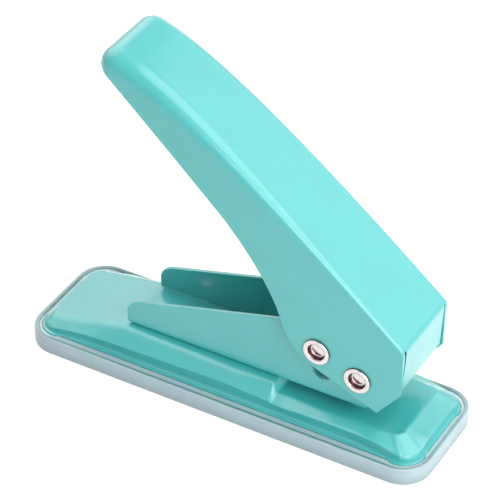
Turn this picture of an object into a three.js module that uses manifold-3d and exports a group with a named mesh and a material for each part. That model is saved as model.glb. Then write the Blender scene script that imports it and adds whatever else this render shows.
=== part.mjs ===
// Single hole punch: a folded steel lever drives one punch pin through a pressed steel base.
// Millimetres. X runs from the handle's nose to the paper throat, Z is up.
// The origin is on the table, under the middle of the chip tray.

import * as THREE from 'three';
import { mergeVertices } from 'three/addons/utils/BufferGeometryUtils.js';
import Module from 'manifold-3d';

const wasm = await Module();
wasm.setup();

// Chip tray
const trayLength = 120;
const trayWidth = 36.5;
const trayHeight = 5.1;
const trayCornerRadius = 8.3;
const trayWall = 1.2;
const trayFloor = 1.2;
const trayEdgeRound = 0.5;
const trayFootChamfer = 0.4;
const traySideLedge = 1.85;
const trayEndLedge = 0.7;
const trayLedgeSheet = 1;
const trayLedgeDrop = 0.45;
const trayShelfDrop = 1.2;
const trayShelfSheet = 1.2;
const trayShelfWidth = 3.6;

// Base, a pressed pan with a foot flange
const baseSheet = 1;
const flangeSideGap = 0.15;
const flangeEndGap = 0.6;
const lobeEndGap = 0.8;
const lobeSideGap = 1.15;
const lobePocketGap = 0.15;
const lobeRadius = 6.1;
const lobeInset = 0.2;
const flangeBand = 1.2;
const throatDeckRise = 4.95;
const throatGap = 2.55;
const tailDeckRise = 3;
const panWallRun = 0.45;
const platformTailReach = 0.65;
const throatEndRun = 6.9;
const tailEndRun = 2.9;
const panCornerRadius = 5.5;
const stopSlopeRun = 2;

// Where the hole falls: its distance from the paper stop and from the tray's middle
const holeMargin = 12;
const punchX = 27.05;

// Folded channel that carries the punch and the lever
const frameSheet = 1.1;
const frameWidth = 18.1;
const frameBend = 1.6;
const frameTailReach = 58.9;
const frameThroatReach = 13.4;
const frameCorner = 1.4;
const earTailHeight = 8.6;
const earTailRound = 4.6;
const earPeakHeight = 22.3;
const earPeakReach = 4;
const earBossRadius = 5.6;

// Lever motion
const fulcrumRise = 12.2;
const driveArm = 12.66;
const driveRestAngle = THREE.MathUtils.degToRad(21);
const leverSwing = THREE.MathUtils.degToRad(40);

// Tubular rivets, the same pair of sizes for fulcrum and drive
const tubeRadius = 2.65;
const tubeBoreRadius = 2.15;
const tubeFlangeRadius = 3.75;
const tubeFlangeThickness = 0.7;
const tubeFlangeRound = 0.25;
const tubeCupDepth = 1.6;
const tubeHoleClearance = 0.06;
const slotClearance = 0.35;

// Spacers between the channel and the lever
const spacerThickness = 2.05;
const spacerRadius = 4.2;
const sideClearance = 0.05;

// Folded lever
const leverSheet = 1.2;
const leverNoseReach = 76.3;
const leverNoseRise = 69.7;
const leverThroatReach = 12.5;
const leverDrop = 8.6;
const leverDropReach = 5.7;
const leverHeelReach = 12.8;
const leverHeelDrop = 1;
const leverNoseRadius = 5;
const leverNoseLip = 2.2;
const leverFoldRadius = 3;
const leverFlapHeight = 12.5;
const leverEdgeAtFlap = 0.3;
const leverEdgeAtFold = 0.9;
const leverEdgeAtNose = 4.8;
const leverSlit = 0.6;
const wallLean = THREE.MathUtils.degToRad(1);
const flapLean = THREE.MathUtils.degToRad(3.5);
const flapRise = 0.4;
const crownFoldAngle = THREE.MathUtils.degToRad(40.2);
const crownNoseAngle = THREE.MathUtils.degToRad(17);
const noseWrapAngle = THREE.MathUtils.degToRad(100);

// Punch pin and what it runs in
const punchRadius = 3;
const punchHeadRadius = 5.25;
const punchHeadAbove = 4.2;
const punchHeadChamfer = 0.6;
const punchSeatWall = 0.75;
const punchTipRecess = 0.6;
const punchNotchDepth = 1.3;
const punchSlotClearance = 0.15;
const runningClearance = 0.05;
const guideWall = 0.65;
const guideHeadroom = 0.6;
const dieRingWall = 1.5;
const dieFlangeWall = 1.6;
const dieFlangeSheet = 1.2;
const dieRecess = 0.05;
const pressClearance = 0.05;

// Return spring
const springWire = 0.7;
const springTurns = 3.5;
const springRoom = 0.25;
const springEndGap = 0.05;

// Rivets that hold the channel down
const rivetRadius = 1.5;
const rivetHeadRadius = 2.75;
const rivetHeadHeight = 1.2;
const rivetTailRadius = 2.3;
const rivetTailHeight = 0.8;
const rivetInset = 11;

// One length by which every cutter runs past what it cuts
const overrun = 3;

// Corners nearer than this are one corner
const weldTolerance = 1e-5;

// Places worked out from the sizes above
const shelfTop = trayHeight - trayShelfDrop;
const flangeTop = shelfTop + baseSheet;
const throatDeckTop = flangeTop + throatDeckRise;
const platformTop = throatDeckTop + throatGap;
const stopX = punchX - holeMargin;
const frameTailX = punchX - frameTailReach;
const webTop = platformTop + frameSheet;

const swingMiddle = (Math.cos(driveRestAngle) + 1) / 2;
const fulcrum = new THREE.Vector2(punchX + driveArm * swingMiddle, platformTop + fulcrumRise);
const drivePlace = (turned) => new THREE.Vector2(
  fulcrum.x - driveArm * Math.cos(driveRestAngle - turned),
  fulcrum.y + driveArm * Math.sin(driveRestAngle - turned),
);
const driveRest = drivePlace(0);
const drivePressed = drivePlace(leverSwing);
const punchTravel = driveRest.y - drivePressed.y;

const earGap = spacerThickness + 2 * sideClearance;
const leverInnerHalf = frameWidth / 2 + earGap;
const leverHalf = leverInnerHalf + leverSheet;

const punchSlotHalfHeight = tubeRadius + punchSlotClearance;
const punchSeat = driveRest.y - punchSlotHalfHeight - punchSeatWall;
const guideTop = punchSeat - punchTravel - guideHeadroom;
const guideRadius = punchRadius + runningClearance + guideWall;

const flangeHalfLength = trayLength / 2 - trayWall - trayEndLedge - flangeEndGap;
const flangeHalfWidth = trayWidth / 2 - trayWall - traySideLedge - flangeSideGap;
const lobeHalfLength = trayLength / 2 - trayWall - lobeEndGap;
const lobeHalfWidth = trayWidth / 2 - trayWall - lobeSideGap;

const circleSteps = 32;
const quarter = Math.PI / 2;

// Solids

// One closed mesh from a geometry: shared corners, no flat triangles, faces out
function closedMesh(geometry) {
  const bare = geometry.clone();
  for (const name of Object.keys(bare.attributes)) {
    if (name !== 'position') bare.deleteAttribute(name);
  }
  const welded = mergeVertices(bare, weldTolerance);
  const corners = welded.attributes.position;
  const kept = [];
  let volume = 0;
  const [a, b, c] = [new THREE.Vector3(), new THREE.Vector3(), new THREE.Vector3()];
  for (let i = 0; i < welded.index.count; i += 3) {
    const [p, q, r] = [0, 1, 2].map((k) => welded.index.getX(i + k));
    if (p === q || q === r || r === p) continue;
    kept.push(p, q, r);
    a.fromBufferAttribute(corners, p);
    b.fromBufferAttribute(corners, q);
    c.fromBufferAttribute(corners, r);
    volume += a.dot(b.cross(c));
  }
  if (volume < 0) kept.reverse();
  welded.setIndex(kept);
  return welded;
}

function solid(geometry) {
  const mesh = closedMesh(geometry);
  return new wasm.Manifold(new wasm.Mesh({
    numProp: 3,
    vertProperties: new Float32Array(mesh.attributes.position.array),
    triVerts: new Uint32Array(mesh.index.array),
  }));
}

function geometryOf(manifold) {
  const mesh = manifold.getMesh();
  const geometry = new THREE.BufferGeometry();
  geometry.setAttribute('position', new THREE.BufferAttribute(mesh.vertProperties, 3));
  geometry.setIndex(Array.from(mesh.triVerts));
  return geometry;
}

const joined = (pieces) => pieces.reduce((sum, piece) => sum.add(piece));
const cut = (body, cutters) => cutters.reduce((rest, cutter) => rest.subtract(cutter), body);

// Turns that carry a shape drawn flat into its plane
const sideways = new THREE.Matrix4().makeBasis(
  new THREE.Vector3(1, 0, 0), new THREE.Vector3(0, 0, 1), new THREE.Vector3(0, -1, 0));
const lengthways = new THREE.Matrix4().makeBasis(
  new THREE.Vector3(0, 1, 0), new THREE.Vector3(0, 0, 1), new THREE.Vector3(1, 0, 0));

const extruded = (shape, depth) => new THREE.ExtrudeGeometry(
  shape, { depth, bevelEnabled: false, curveSegments: circleSteps / 4 });

// A shape drawn in X and Z, as thick in Y as asked and centred on Y
const acrossY = (shape, width) => extruded(shape, width).applyMatrix4(sideways)
  .translate(0, width / 2, 0);

// A shape drawn in Y and Z, from one X to another
const alongX = (shape, from, to) => extruded(shape, to - from).applyMatrix4(lengthways)
  .translate(from, 0, 0);

// A shape drawn in X and Y, from one Z to another
const upZ = (shape, from, to) => extruded(shape, to - from).translate(0, 0, from);

function block(low, high) {
  const size = new THREE.Vector3().subVectors(high, low);
  const middle = new THREE.Vector3().addVectors(low, high).multiplyScalar(1 / 2);
  return new THREE.BoxGeometry(size.x, size.y, size.z).translate(middle.x, middle.y, middle.z);
}

function circleShape(x, y, radius) {
  const shape = new THREE.Shape();
  for (let step = 0; step < circleSteps; step += 1) {
    const turn = step / circleSteps * 2 * Math.PI;
    const place = [x + radius * Math.cos(turn), y + radius * Math.sin(turn)];
    if (step === 0) shape.moveTo(...place);
    else shape.lineTo(...place);
  }
  shape.closePath();
  return shape;
}

// A round piece turned about Z from [radius, height] points
function turned(profile) {
  const points = profile.map(([radius, height]) => new THREE.Vector2(radius, height));
  return new THREE.LatheGeometry(points, circleSteps).applyMatrix4(sideways);
}

const ring = (inner, outer, bottom, top) => turned([
  [inner, bottom], [outer, bottom], [outer, top], [inner, top], [inner, bottom]]);

// Skins joined from rows of points: each row has the same count, closed round or left open
function rowStrips(rows, closedRound) {
  const triangles = [];
  const count = rows[0].length;
  const last = closedRound ? count : count - 1;
  for (let r = 0; r + 1 < rows.length; r += 1) {
    for (let i = 0; i < last; i += 1) {
      const j = (i + 1) % count;
      triangles.push([rows[r][i], rows[r][j], rows[r + 1][j]]);
      triangles.push([rows[r][i], rows[r + 1][j], rows[r + 1][i]]);
    }
  }
  return triangles;
}

const flipped = (triangles) => triangles.map(([a, b, c]) => [a, c, b]);

function geometryFromTriangles(triangles) {
  const geometry = new THREE.BufferGeometry();
  geometry.setAttribute('position', new THREE.Float32BufferAttribute(triangles.flat(2), 3));
  return geometry;
}

// The four corners in turn, as shares of the half sizes
const cornerShares = [[1, 1], [-1, 1], [-1, -1], [1, -1]];

// Four-cornered loop whose corners are quarter ellipses round fixed centres
function cornerLoop(halfLength, halfWidth, centreX, centreY, z, steps) {
  const loop = [];
  for (let corner = 0; corner < cornerShares.length; corner += 1) {
    const [signX, signY] = cornerShares[corner];
    for (let step = 0; step <= steps; step += 1) {
      const angle = corner * quarter + step / steps * quarter;
      loop.push([
        signX * centreX + (halfLength - centreX) * Math.cos(angle),
        signY * centreY + (halfWidth - centreY) * Math.sin(angle),
        z,
      ]);
    }
  }
  return loop;
}

function loopShape(loop) {
  return new THREE.Shape(loop.map(([x, y]) => new THREE.Vector2(x, y)));
}

// Corner lobes of the base's flange

// Quarter outline from the side's middle to the end's middle, grown by a gap
function lobeCorner(grow, waistInset) {
  const side = flangeHalfWidth - waistInset + grow;
  const end = flangeHalfLength - waistInset + grow;
  const centre = new THREE.Vector2(lobeHalfLength - lobeRadius, lobeHalfWidth - lobeRadius);
  const radius = lobeRadius + grow;
  const bend = lobeRadius / 2;
  const points = [new THREE.Vector2(0, side)];
  const sideStep = new THREE.CubicBezierCurve(
    new THREE.Vector2(centre.x - bend, side), new THREE.Vector2(centre.x - bend / 2, side),
    new THREE.Vector2(centre.x - bend / 2, centre.y + radius),
    new THREE.Vector2(centre.x, centre.y + radius));
  const arc = new THREE.EllipseCurve(
    centre.x, centre.y, radius, radius, quarter, 0, true);
  const endStep = new THREE.CubicBezierCurve(
    new THREE.Vector2(centre.x + radius, centre.y),
    new THREE.Vector2(centre.x + radius, centre.y - bend / 3),
    new THREE.Vector2(end, centre.y - bend / 3), new THREE.Vector2(end, centre.y - bend / 2));
  return [
    ...points,
    ...sideStep.getPoints(6),
    ...arc.getPoints(8).slice(1),
    ...endStep.getPoints(6).slice(1),
    new THREE.Vector2(end, 0),
  ];
}

function lobeShape(grow, waistInset) {
  const corner = lobeCorner(grow, waistInset);
  const mirrored = (signX, signY) => corner.map((p) => new THREE.Vector2(signX * p.x, signY * p.y));
  const outline = [
    ...mirrored(1, 1).reverse().slice(0, -1),
    ...mirrored(-1, 1).slice(0, -1),
    ...mirrored(-1, -1).reverse().slice(0, -1),
    ...mirrored(1, -1).slice(0, -1),
  ];
  return new THREE.Shape(outline);
}

// The four corner zones where the lobes stand, from one Z to another
function cornerZones(bottom, top) {
  const reach = 1.5 * lobeRadius;
  const near = new THREE.Vector2(lobeHalfLength - reach, lobeHalfWidth - reach);
  const far = new THREE.Vector2(trayLength / 2 + overrun, trayWidth / 2 + overrun);
  const zones = [];
  for (const [signX, signY] of cornerShares) {
    const xs = [signX * near.x, signX * far.x].sort((a, b) => a - b);
    const ys = [signY * near.y, signY * far.y].sort((a, b) => a - b);
    zones.push(solid(block(
      new THREE.Vector3(xs[0], ys[0], bottom), new THREE.Vector3(xs[1], ys[1], top))));
  }
  return joined(zones);
}

// Chip tray: floor, wall with a rounded edge, ledge round the base and a shelf in each corner
function chipTray() {
  const centreX = trayLength / 2 - trayCornerRadius;
  const centreY = trayWidth / 2 - trayCornerRadius;
  const round = trayEdgeRound;
  const slant = round * (1 - Math.SQRT1_2);
  const ledgeTop = trayHeight - trayLedgeDrop;
  const section = [
    [trayFootChamfer, 0, 0],
    [0, 0, trayFootChamfer],
    [0, 0, trayHeight - round],
    [slant, 0, trayHeight - slant],
    [round, 0, trayHeight],
    [trayWall - slant, 0, trayHeight],
    [trayWall, 0, trayHeight - slant],
    [trayWall, 0, ledgeTop],
    [trayWall, 1, ledgeTop],
    [trayWall, 1, ledgeTop - trayLedgeSheet],
    [trayWall, 0, ledgeTop - trayLedgeSheet],
    [trayWall, 0, 0],
  ];
  const rows = [...section, section[0]].map(([inset, onLedge, z]) => cornerLoop(
    trayLength / 2 - inset - onLedge * trayEndLedge,
    trayWidth / 2 - inset - onLedge * traySideLedge, centreX, centreY, z, 8));
  const rim = solid(geometryFromTriangles(rowStrips(rows, true)));
  const inWall = trayWall / 2;
  const insideLoop = (inset) => cornerLoop(
    trayLength / 2 - inset, trayWidth / 2 - inset, centreX, centreY, 0, 8);
  const floor = solid(upZ(loopShape(insideLoop(inWall)), 0, trayFloor));
  const shelfShape = loopShape(insideLoop(inWall));
  shelfShape.holes.push(new THREE.Path(
    loopShape(insideLoop(trayWall + trayShelfWidth)).getPoints()));
  const shelves = solid(upZ(shelfShape, shelfTop - trayShelfSheet, shelfTop))
    .intersect(cornerZones(0, trayHeight));
  const pockets = solid(upZ(lobeShape(lobePocketGap, 0), shelfTop, trayHeight + overrun))
    .intersect(cornerZones(0, trayHeight + 2 * overrun));
  return geometryOf(joined([rim, floor, shelves]).subtract(pockets));
}

// Base

const smooth = (share) => share * share * (3 - 2 * share);
const eased = (x, from, to) => smooth(THREE.MathUtils.clamp((x - from) / (to - from), 0, 1));

// Height of the pan's deck: tail ramp, platform, paper stop, throat deck
const platformTailX = frameTailX - platformTailReach;
const panTailX = -(flangeHalfLength - tailEndRun);
function deckTop(x) {
  const throatShare = eased(x, stopX - stopSlopeRun / 2, stopX + stopSlopeRun / 2);
  const level = platformTop - throatGap * throatShare;
  const rampShare = THREE.MathUtils.clamp((platformTailX - x) / (platformTailX - panTailX), 0, 1);
  return level - (platformTop - flangeTop - tailDeckRise) * rampShare;
}

// Shape of the sides, from the tail end to the throat end. The first number is a share
// of the flange's half length, and the second is the wall's share of the deck's height.
// The others are shares of the half width: the shoulder's run and the deck's edge.
const sideShares = [
  [-0.94, 0.3, 0.17, 0.34],
  [-0.82, 0.5, 0.17, 0.345],
  [-0.7, 0.52, 0.17, 0.35],
  [-0.55, 0.48, 0.16, 0.355],
  [-0.33, 0.53, 0.16, 0.345],
  [-0.14, 0.57, 0.165, 0.34],
  [0.04, 0.6, 0.165, 0.33],
  [0.17, 0.53, 0.13, 0.325],
  [0.3, 0.6, 0.08, 0.29],
  [0.45, 0.73, 0.065, 0.25],
  [0.63, 0.76, 0.065, 0.27],
  [0.78, 0.72, 0.065, 0.3],
  [0.88, 0.46, 0.075, 0.33],
  [0.94, 0.28, 0.08, 0.33],
];

function sideRuns(x) {
  const place = THREE.MathUtils.clamp(
    x / flangeHalfLength, sideShares[0][0], sideShares[sideShares.length - 1][0]);
  const next = Math.max(1, sideShares.findIndex(([share]) => share >= place));
  const [before, after] = [sideShares[next - 1], sideShares[next]];
  const share = eased(place, before[0], after[0]);
  const [, wallShare, shoulderShare, deckShare] = before.map(
    (value, k) => THREE.MathUtils.lerp(value, after[k], share));
  const shoulder = flangeHalfWidth * shoulderShare;
  const flank = flangeHalfWidth * deckShare - panWallRun - shoulder;
  return { wallShare, flank, shoulder };
}

// The wall is lowest at the corners and rises again towards the middle of each end
const endWallShare = 0.61;
const endWallFromShare = 0.3;
const endWallToShare = 1.6;

function wallShareAt([x, y]) {
  const fromSide = flangeHalfWidth - Math.abs(y);
  const share = eased(
    fromSide, endWallFromShare * panCornerRadius, endWallToShare * panCornerRadius);
  return THREE.MathUtils.lerp(sideRuns(x).wallShare, endWallShare, share);
}

// Section of the pan's skin from its foot up to the deck, as shares of the runs and heights
// of wall, flank and shoulder, of the ends' runs and of the corner's radius
const panSectionShares = [
  { wall: 0, flank: 0, shoulder: 0, shoulderUp: 0, throatEnd: 0, tailEnd: 0, corner: 1 },
  { wall: 1, flank: 0, shoulder: 0, shoulderUp: 0, throatEnd: 0.07, tailEnd: 0.15, corner: 0.93 },
  { wall: 1, flank: 1, shoulder: 0, shoulderUp: 0, throatEnd: 0.77, tailEnd: 0.575, corner: 0.6 },
  { wall: 1, flank: 1, shoulder: 0.33, shoulderUp: 0.55, throatEnd: 0.846, tailEnd: 0.715, corner: 0.54 },
  { wall: 1, flank: 1, shoulder: 0.67, shoulderUp: 0.89, throatEnd: 0.924, tailEnd: 0.86, corner: 0.48 },
  { wall: 1, flank: 1, shoulder: 1, shoulderUp: 1, throatEnd: 1, tailEnd: 1, corner: 0.43 },
];

// Stations along the sides, between the corners, as shares of the stretches they divide
const rampShares = [0, 0.25, 0.5, 0.75];
const platformShares = [0, 0.25, 0.5, 0.72, 0.88];
const stopShares = [0, 0.2, 0.4, 0.6, 0.8, 1];
const throatShares = [0.06, 0.14, 0.26, 0.5, 0.68, 0.84, 1];

function sideStations(tailCorner, throatCorner) {
  const stopFrom = stopX - stopSlopeRun / 2;
  const stopTo = stopX + stopSlopeRun / 2;
  const between = (shares, from, to) => shares.map((share) => from + share * (to - from));
  return [
    ...between(rampShares, tailCorner, platformTailX),
    ...between(platformShares, platformTailX, stopFrom),
    ...between(stopShares, stopFrom, stopTo),
    ...between(throatShares, stopTo, throatCorner),
  ];
}

// One ring of the pan, far side first, then round the throat end, near side and tail end
function panPlaces(shares) {
  const radius = panCornerRadius * shares.corner;
  const tailCentre = -(flangeHalfLength - tailEndRun * shares.tailEnd - radius);
  const throatCentre = flangeHalfLength - throatEndRun * shares.throatEnd - radius;
  const sideAt = (x) => {
    const { flank, shoulder } = sideRuns(x);
    return flangeHalfWidth - panWallRun * shares.wall - flank * shares.flank
      - shoulder * shares.shoulder;
  };
  const steps = 6;
  const arc = (centreX, reach) => Array.from({ length: steps }, (_, i) => {
    const angle = (i + 1) / steps * quarter;
    return [centreX + reach * Math.sin(angle), sideAt(centreX) - radius * (1 - Math.cos(angle))];
  });
  const far = [
    ...arc(tailCentre, -radius).reverse(),
    ...sideStations(tailCentre, throatCentre).map((x) => [x, sideAt(x)]),
    ...arc(throatCentre, radius),
  ];
  const near = far.map(([x, y]) => [x, -y]).reverse();
  return [...far, ...near];
}

// Outer and inner skins of the pan: the inner one lies a sheet thickness inside
function panRings() {
  const plans = panSectionShares.map(panPlaces);
  const count = plans[0].length;
  const deckPlan = plans[plans.length - 1];
  const deckHeights = deckPlan.map(([x]) => deckTop(x));
  const heightAt = (shares, i) => {
    const place = plans[0][i];
    const { flank, shoulder } = sideRuns(place[0]);
    const rise = deckHeights[i] - flangeTop;
    const wallHeight = rise * wallShareAt(place);
    const slope = (rise - wallHeight) / (flank + shoulder / 2);
    return flangeTop - baseSheet + (baseSheet + wallHeight) * shares.wall
      + slope * flank * shares.flank + slope * shoulder / 2 * shares.shoulderUp;
  };
  const outer = plans.map((plan, k) => plan.map(
    ([x, y], i) => [x, y, heightAt(panSectionShares[k], i)]));
  const inner = outer.map((loop) => loop.map((point) => [...point]));
  for (let i = 0; i < count; i += 1) {
    const inward = new THREE.Vector2(
      deckPlan[i][0] - plans[0][i][0], deckPlan[i][1] - plans[0][i][1]).normalize();
    for (let k = 0; k < plans.length; k += 1) {
      const before = outer[Math.max(k - 1, 0)][i];
      const after = outer[Math.min(k + 1, plans.length - 1)][i];
      const run = (after[0] - before[0]) * inward.x + (after[1] - before[1]) * inward.y;
      const rise = after[2] - before[2];
      const onDeck = k === plans.length - 1;
      const length = Math.hypot(run, rise);
      const shift = onDeck ? 0 : baseSheet * rise / length;
      const drop = onDeck ? baseSheet : baseSheet * run / length;
      const [x, y, z] = outer[k][i];
      inner[k][i] = [
        x + shift * inward.x, y + shift * inward.y,
        k === 0 ? z : Math.min(z - drop, deckHeights[i] - baseSheet)];
    }
  }
  return { outer, inner };
}

// Deck between the last ring's far and near halves
function deckStrips(loop) {
  const half = loop.length / 2;
  const far = loop.slice(0, half);
  const near = loop.slice(half).reverse();
  return rowStrips([far, near], false);
}

function panSolid() {
  const { outer, inner } = panRings();
  const triangles = [
    ...rowStrips(outer, true),
    ...flipped(rowStrips(inner, true)),
    ...flipped(rowStrips([outer[0], inner[0]], true)),
    ...deckStrips(outer[outer.length - 1]),
    ...flipped(deckStrips(inner[inner.length - 1])),
  ];
  return solid(geometryFromTriangles(triangles));
}

const rivetXs = {
  frame_rivet_tail: frameTailX + rivetInset,
  frame_rivet_throat: stopX - stopSlopeRun / 2 - rivetInset,
};

function basePlate() {
  const flangeShape = lobeShape(0, lobeInset);
  flangeShape.holes.push(new THREE.Path(loopShape(cornerLoop(
    flangeHalfLength - flangeBand, flangeHalfWidth - flangeBand,
    flangeHalfLength - panCornerRadius, flangeHalfWidth - panCornerRadius, 0, 8)).getPoints()));
  const flange = solid(upZ(flangeShape, shelfTop, flangeTop));
  const hole = (x, radius) => solid(upZ(circleShape(x, 0, radius), 0, platformTop + overrun));
  const holes = Object.values(rivetXs).map((x) => hole(x, rivetRadius + pressClearance));
  holes.push(hole(punchX, punchRadius + dieRingWall + pressClearance));
  return geometryOf(cut(panSolid().add(flange), holes));
}

// Channel: web on the platform, an ear each side
function earShape() {
  const tail = frameTailX;
  const earTop = platformTop + earTailHeight;
  const peak = new THREE.Vector2(punchX - earPeakReach, platformTop + earPeakHeight);
  const topTail = new THREE.Vector2(tail + earTailRound, earTop);
  const topDirection = peak.clone().sub(topTail).normalize();
  const shape = new THREE.Shape();
  shape.moveTo(tail + frameCorner, platformTop);
  shape.lineTo(punchX + frameThroatReach - frameCorner, platformTop);
  shape.quadraticCurveTo(
    punchX + frameThroatReach, platformTop, punchX + frameThroatReach, platformTop + frameCorner);
  const bossTurn = Math.PI / 3;
  shape.absarc(fulcrum.x, fulcrum.y, earBossRadius, -bossTurn / 2, bossTurn, false);
  shape.quadraticCurveTo(peak.x + earPeakReach, peak.y, peak.x, peak.y);
  shape.lineTo(topTail.x, topTail.y);
  shape.quadraticCurveTo(
    tail, earTop - earTailRound * topDirection.y, tail, earTop - earTailRound);
  shape.lineTo(tail, platformTop + frameCorner);
  shape.quadraticCurveTo(tail, platformTop, tail + frameCorner, platformTop);
  return shape;
}

// Slot that the drive rivet sweeps as the lever swings
function driveSlotShape() {
  const half = tubeRadius + slotClearance;
  const steps = 8;
  const side = (radius, from, to) => Array.from({ length: steps + 1 }, (_, i) => {
    const turn = from + i / steps * (to - from);
    return new THREE.Vector2(
      fulcrum.x - radius * Math.cos(turn), fulcrum.y + radius * Math.sin(turn));
  });
  const end = (turnedBy, from) => Array.from({ length: steps - 1 }, (_, i) => {
    const centre = drivePlace(turnedBy);
    const angle = from + (i + 1) / steps * Math.PI;
    return new THREE.Vector2(centre.x + half * Math.cos(angle), centre.y + half * Math.sin(angle));
  });
  const restTurn = driveRestAngle;
  const pressedTurn = driveRestAngle - leverSwing;
  return new THREE.Shape([
    ...side(driveArm + half, restTurn, pressedTurn),
    ...end(leverSwing, Math.PI - pressedTurn),
    ...side(driveArm - half, pressedTurn, restTurn),
    ...end(0, -restTurn),
  ]);
}

function channelFrame() {
  const half = frameWidth / 2;
  const top = platformTop + earPeakHeight + overrun;
  const section = new THREE.Shape();
  const innerHalf = half - frameSheet;
  const innerBend = frameBend - frameSheet;
  section.moveTo(-half, top);
  section.lineTo(-half, platformTop + frameBend);
  section.absarc(-half + frameBend, platformTop + frameBend, frameBend, 2 * quarter, 3 * quarter, false);
  section.absarc(half - frameBend, platformTop + frameBend, frameBend, 3 * quarter, 4 * quarter, false);
  section.lineTo(half, top);
  section.lineTo(innerHalf, top);
  section.absarc(
    innerHalf - innerBend, webTop + innerBend, innerBend, 4 * quarter, 3 * quarter, true);
  section.absarc(
    -innerHalf + innerBend, webTop + innerBend, innerBend, 3 * quarter, 2 * quarter, true);
  section.lineTo(-innerHalf, top);
  section.closePath();
  const channel = solid(alongX(section, frameTailX - overrun, fulcrum.x + earBossRadius + overrun));
  const through = frameWidth + 2 * overrun;
  const webHole = (x, radius) => solid(upZ(
    circleShape(x, 0, radius), platformTop - overrun, webTop + overrun));
  const cutters = [
    solid(acrossY(driveSlotShape(), through)),
    solid(acrossY(circleShape(fulcrum.x, fulcrum.y, tubeRadius + tubeHoleClearance), through)),
    webHole(punchX, guideRadius + pressClearance),
    ...Object.values(rivetXs).map((x) => webHole(x, rivetRadius + pressClearance)),
  ];
  return geometryOf(cut(channel.intersect(solid(acrossY(earShape(), through))), cutters));
}

// Lever

const direction = (angle) => new THREE.Vector2(Math.cos(angle), Math.sin(angle));

// Where the handles of the crown's curve end, as shares of the lever's reach
const crownFoldHandleShare = 0.39;
const crownNoseHandleShare = 0.29;

const foldCentre = new THREE.Vector2(
  fulcrum.x + leverThroatReach - leverFoldRadius, fulcrum.y + leverFlapHeight);
const crownStartNormal = quarter - crownFoldAngle;
const onArc = (centre, radius, angle) => centre.clone().addScaledVector(direction(angle), radius);

// The lever's spine from the flap's foot over the fold and crown and round the nose,
// each point with its outward normal and the radius of the long edges there
function leverSpine() {
  const crownEndNormal = quarter - crownNoseAngle;
  const noseCentre = new THREE.Vector2(
    fulcrum.x - leverNoseReach + leverNoseRadius, fulcrum.y + leverNoseRise);
  const spine = [];
  const add = (place, angle, edge) => spine.push({ place, normal: direction(angle), edge });
  const wallTop = onArc(foldCentre, leverFoldRadius, -wallLean);
  const wallDown = direction(-wallLean - quarter);
  add(wallTop.clone().addScaledVector(wallDown, leverFlapHeight), -wallLean, leverEdgeAtFlap);
  const foldSteps = 5;
  for (let i = 0; i <= foldSteps; i += 1) {
    const angle = -wallLean + i / foldSteps * (crownStartNormal + wallLean);
    const edge = leverEdgeAtFlap + (leverEdgeAtFold - leverEdgeAtFlap) * smooth(i / foldSteps);
    add(onArc(foldCentre, leverFoldRadius, angle), angle, edge);
  }
  const start = onArc(foldCentre, leverFoldRadius, crownStartNormal);
  const end = onArc(noseCentre, leverNoseRadius, crownEndNormal);
  const crown = new THREE.CubicBezierCurve(
    start,
    start.clone().addScaledVector(
      direction(crownStartNormal + quarter), crownFoldHandleShare * leverNoseReach),
    end.clone().addScaledVector(
      direction(crownEndNormal - quarter), crownNoseHandleShare * leverNoseReach),
    end);
  const crownSteps = 14;
  for (let i = 1; i < crownSteps; i += 1) {
    const share = i / crownSteps;
    const tangent = crown.getTangent(share);
    const edge = leverEdgeAtFold + (leverEdgeAtNose - leverEdgeAtFold) * smooth(share);
    add(crown.getPoint(share), Math.atan2(tangent.y, tangent.x) - quarter, edge);
  }
  const noseSteps = 8;
  const lastNormal = quarter + noseWrapAngle;
  for (let i = 0; i <= noseSteps; i += 1) {
    const angle = crownEndNormal + i / noseSteps * (lastNormal - crownEndNormal);
    add(onArc(noseCentre, leverNoseRadius, angle), angle, leverEdgeAtNose);
  }
  const last = spine[spine.length - 1];
  add(last.place.clone().addScaledVector(direction(lastNormal + quarter), leverNoseLip),
    lastNormal, leverEdgeAtNose);
  return spine;
}

// Lower edge of the side walls, from the nose back to the flap's foot,
// as shares of the nose's reach and rise from the fulcrum
const gripTailShares = [-0.89, 0.91];
const gripMiddleShares = [-0.727, 0.746];
const gripBendShares = [-0.522, 0.531];
const gripCurveShares = [[-0.421, 0.418], [-0.311, 0.248]];
const heelTopShares = [-0.286, 0.117];
const heelCurveShares = [[-0.262, 0.06], [-0.235, 0.02]];

function leverLowerEdge() {
  const at = ([alongShare, upShare]) => new THREE.Vector2(
    fulcrum.x + alongShare * leverNoseReach, fulcrum.y + upShare * leverNoseRise);
  const heel = new THREE.Vector2(fulcrum.x - leverHeelReach, fulcrum.y - leverHeelDrop);
  const toe = new THREE.Vector2(fulcrum.x + leverDropReach, fulcrum.y - leverDrop);
  const grip = new THREE.CubicBezierCurve(
    at(gripBendShares), at(gripCurveShares[0]), at(gripCurveShares[1]), at(heelTopShares));
  const round = new THREE.CubicBezierCurve(
    at(heelTopShares), at(heelCurveShares[0]), at(heelCurveShares[1]), heel);
  return [
    at(gripTailShares),
    at(gripMiddleShares),
    ...grip.getPoints(8),
    ...round.getPoints(6).slice(1),
    toe,
  ];
}

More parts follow.
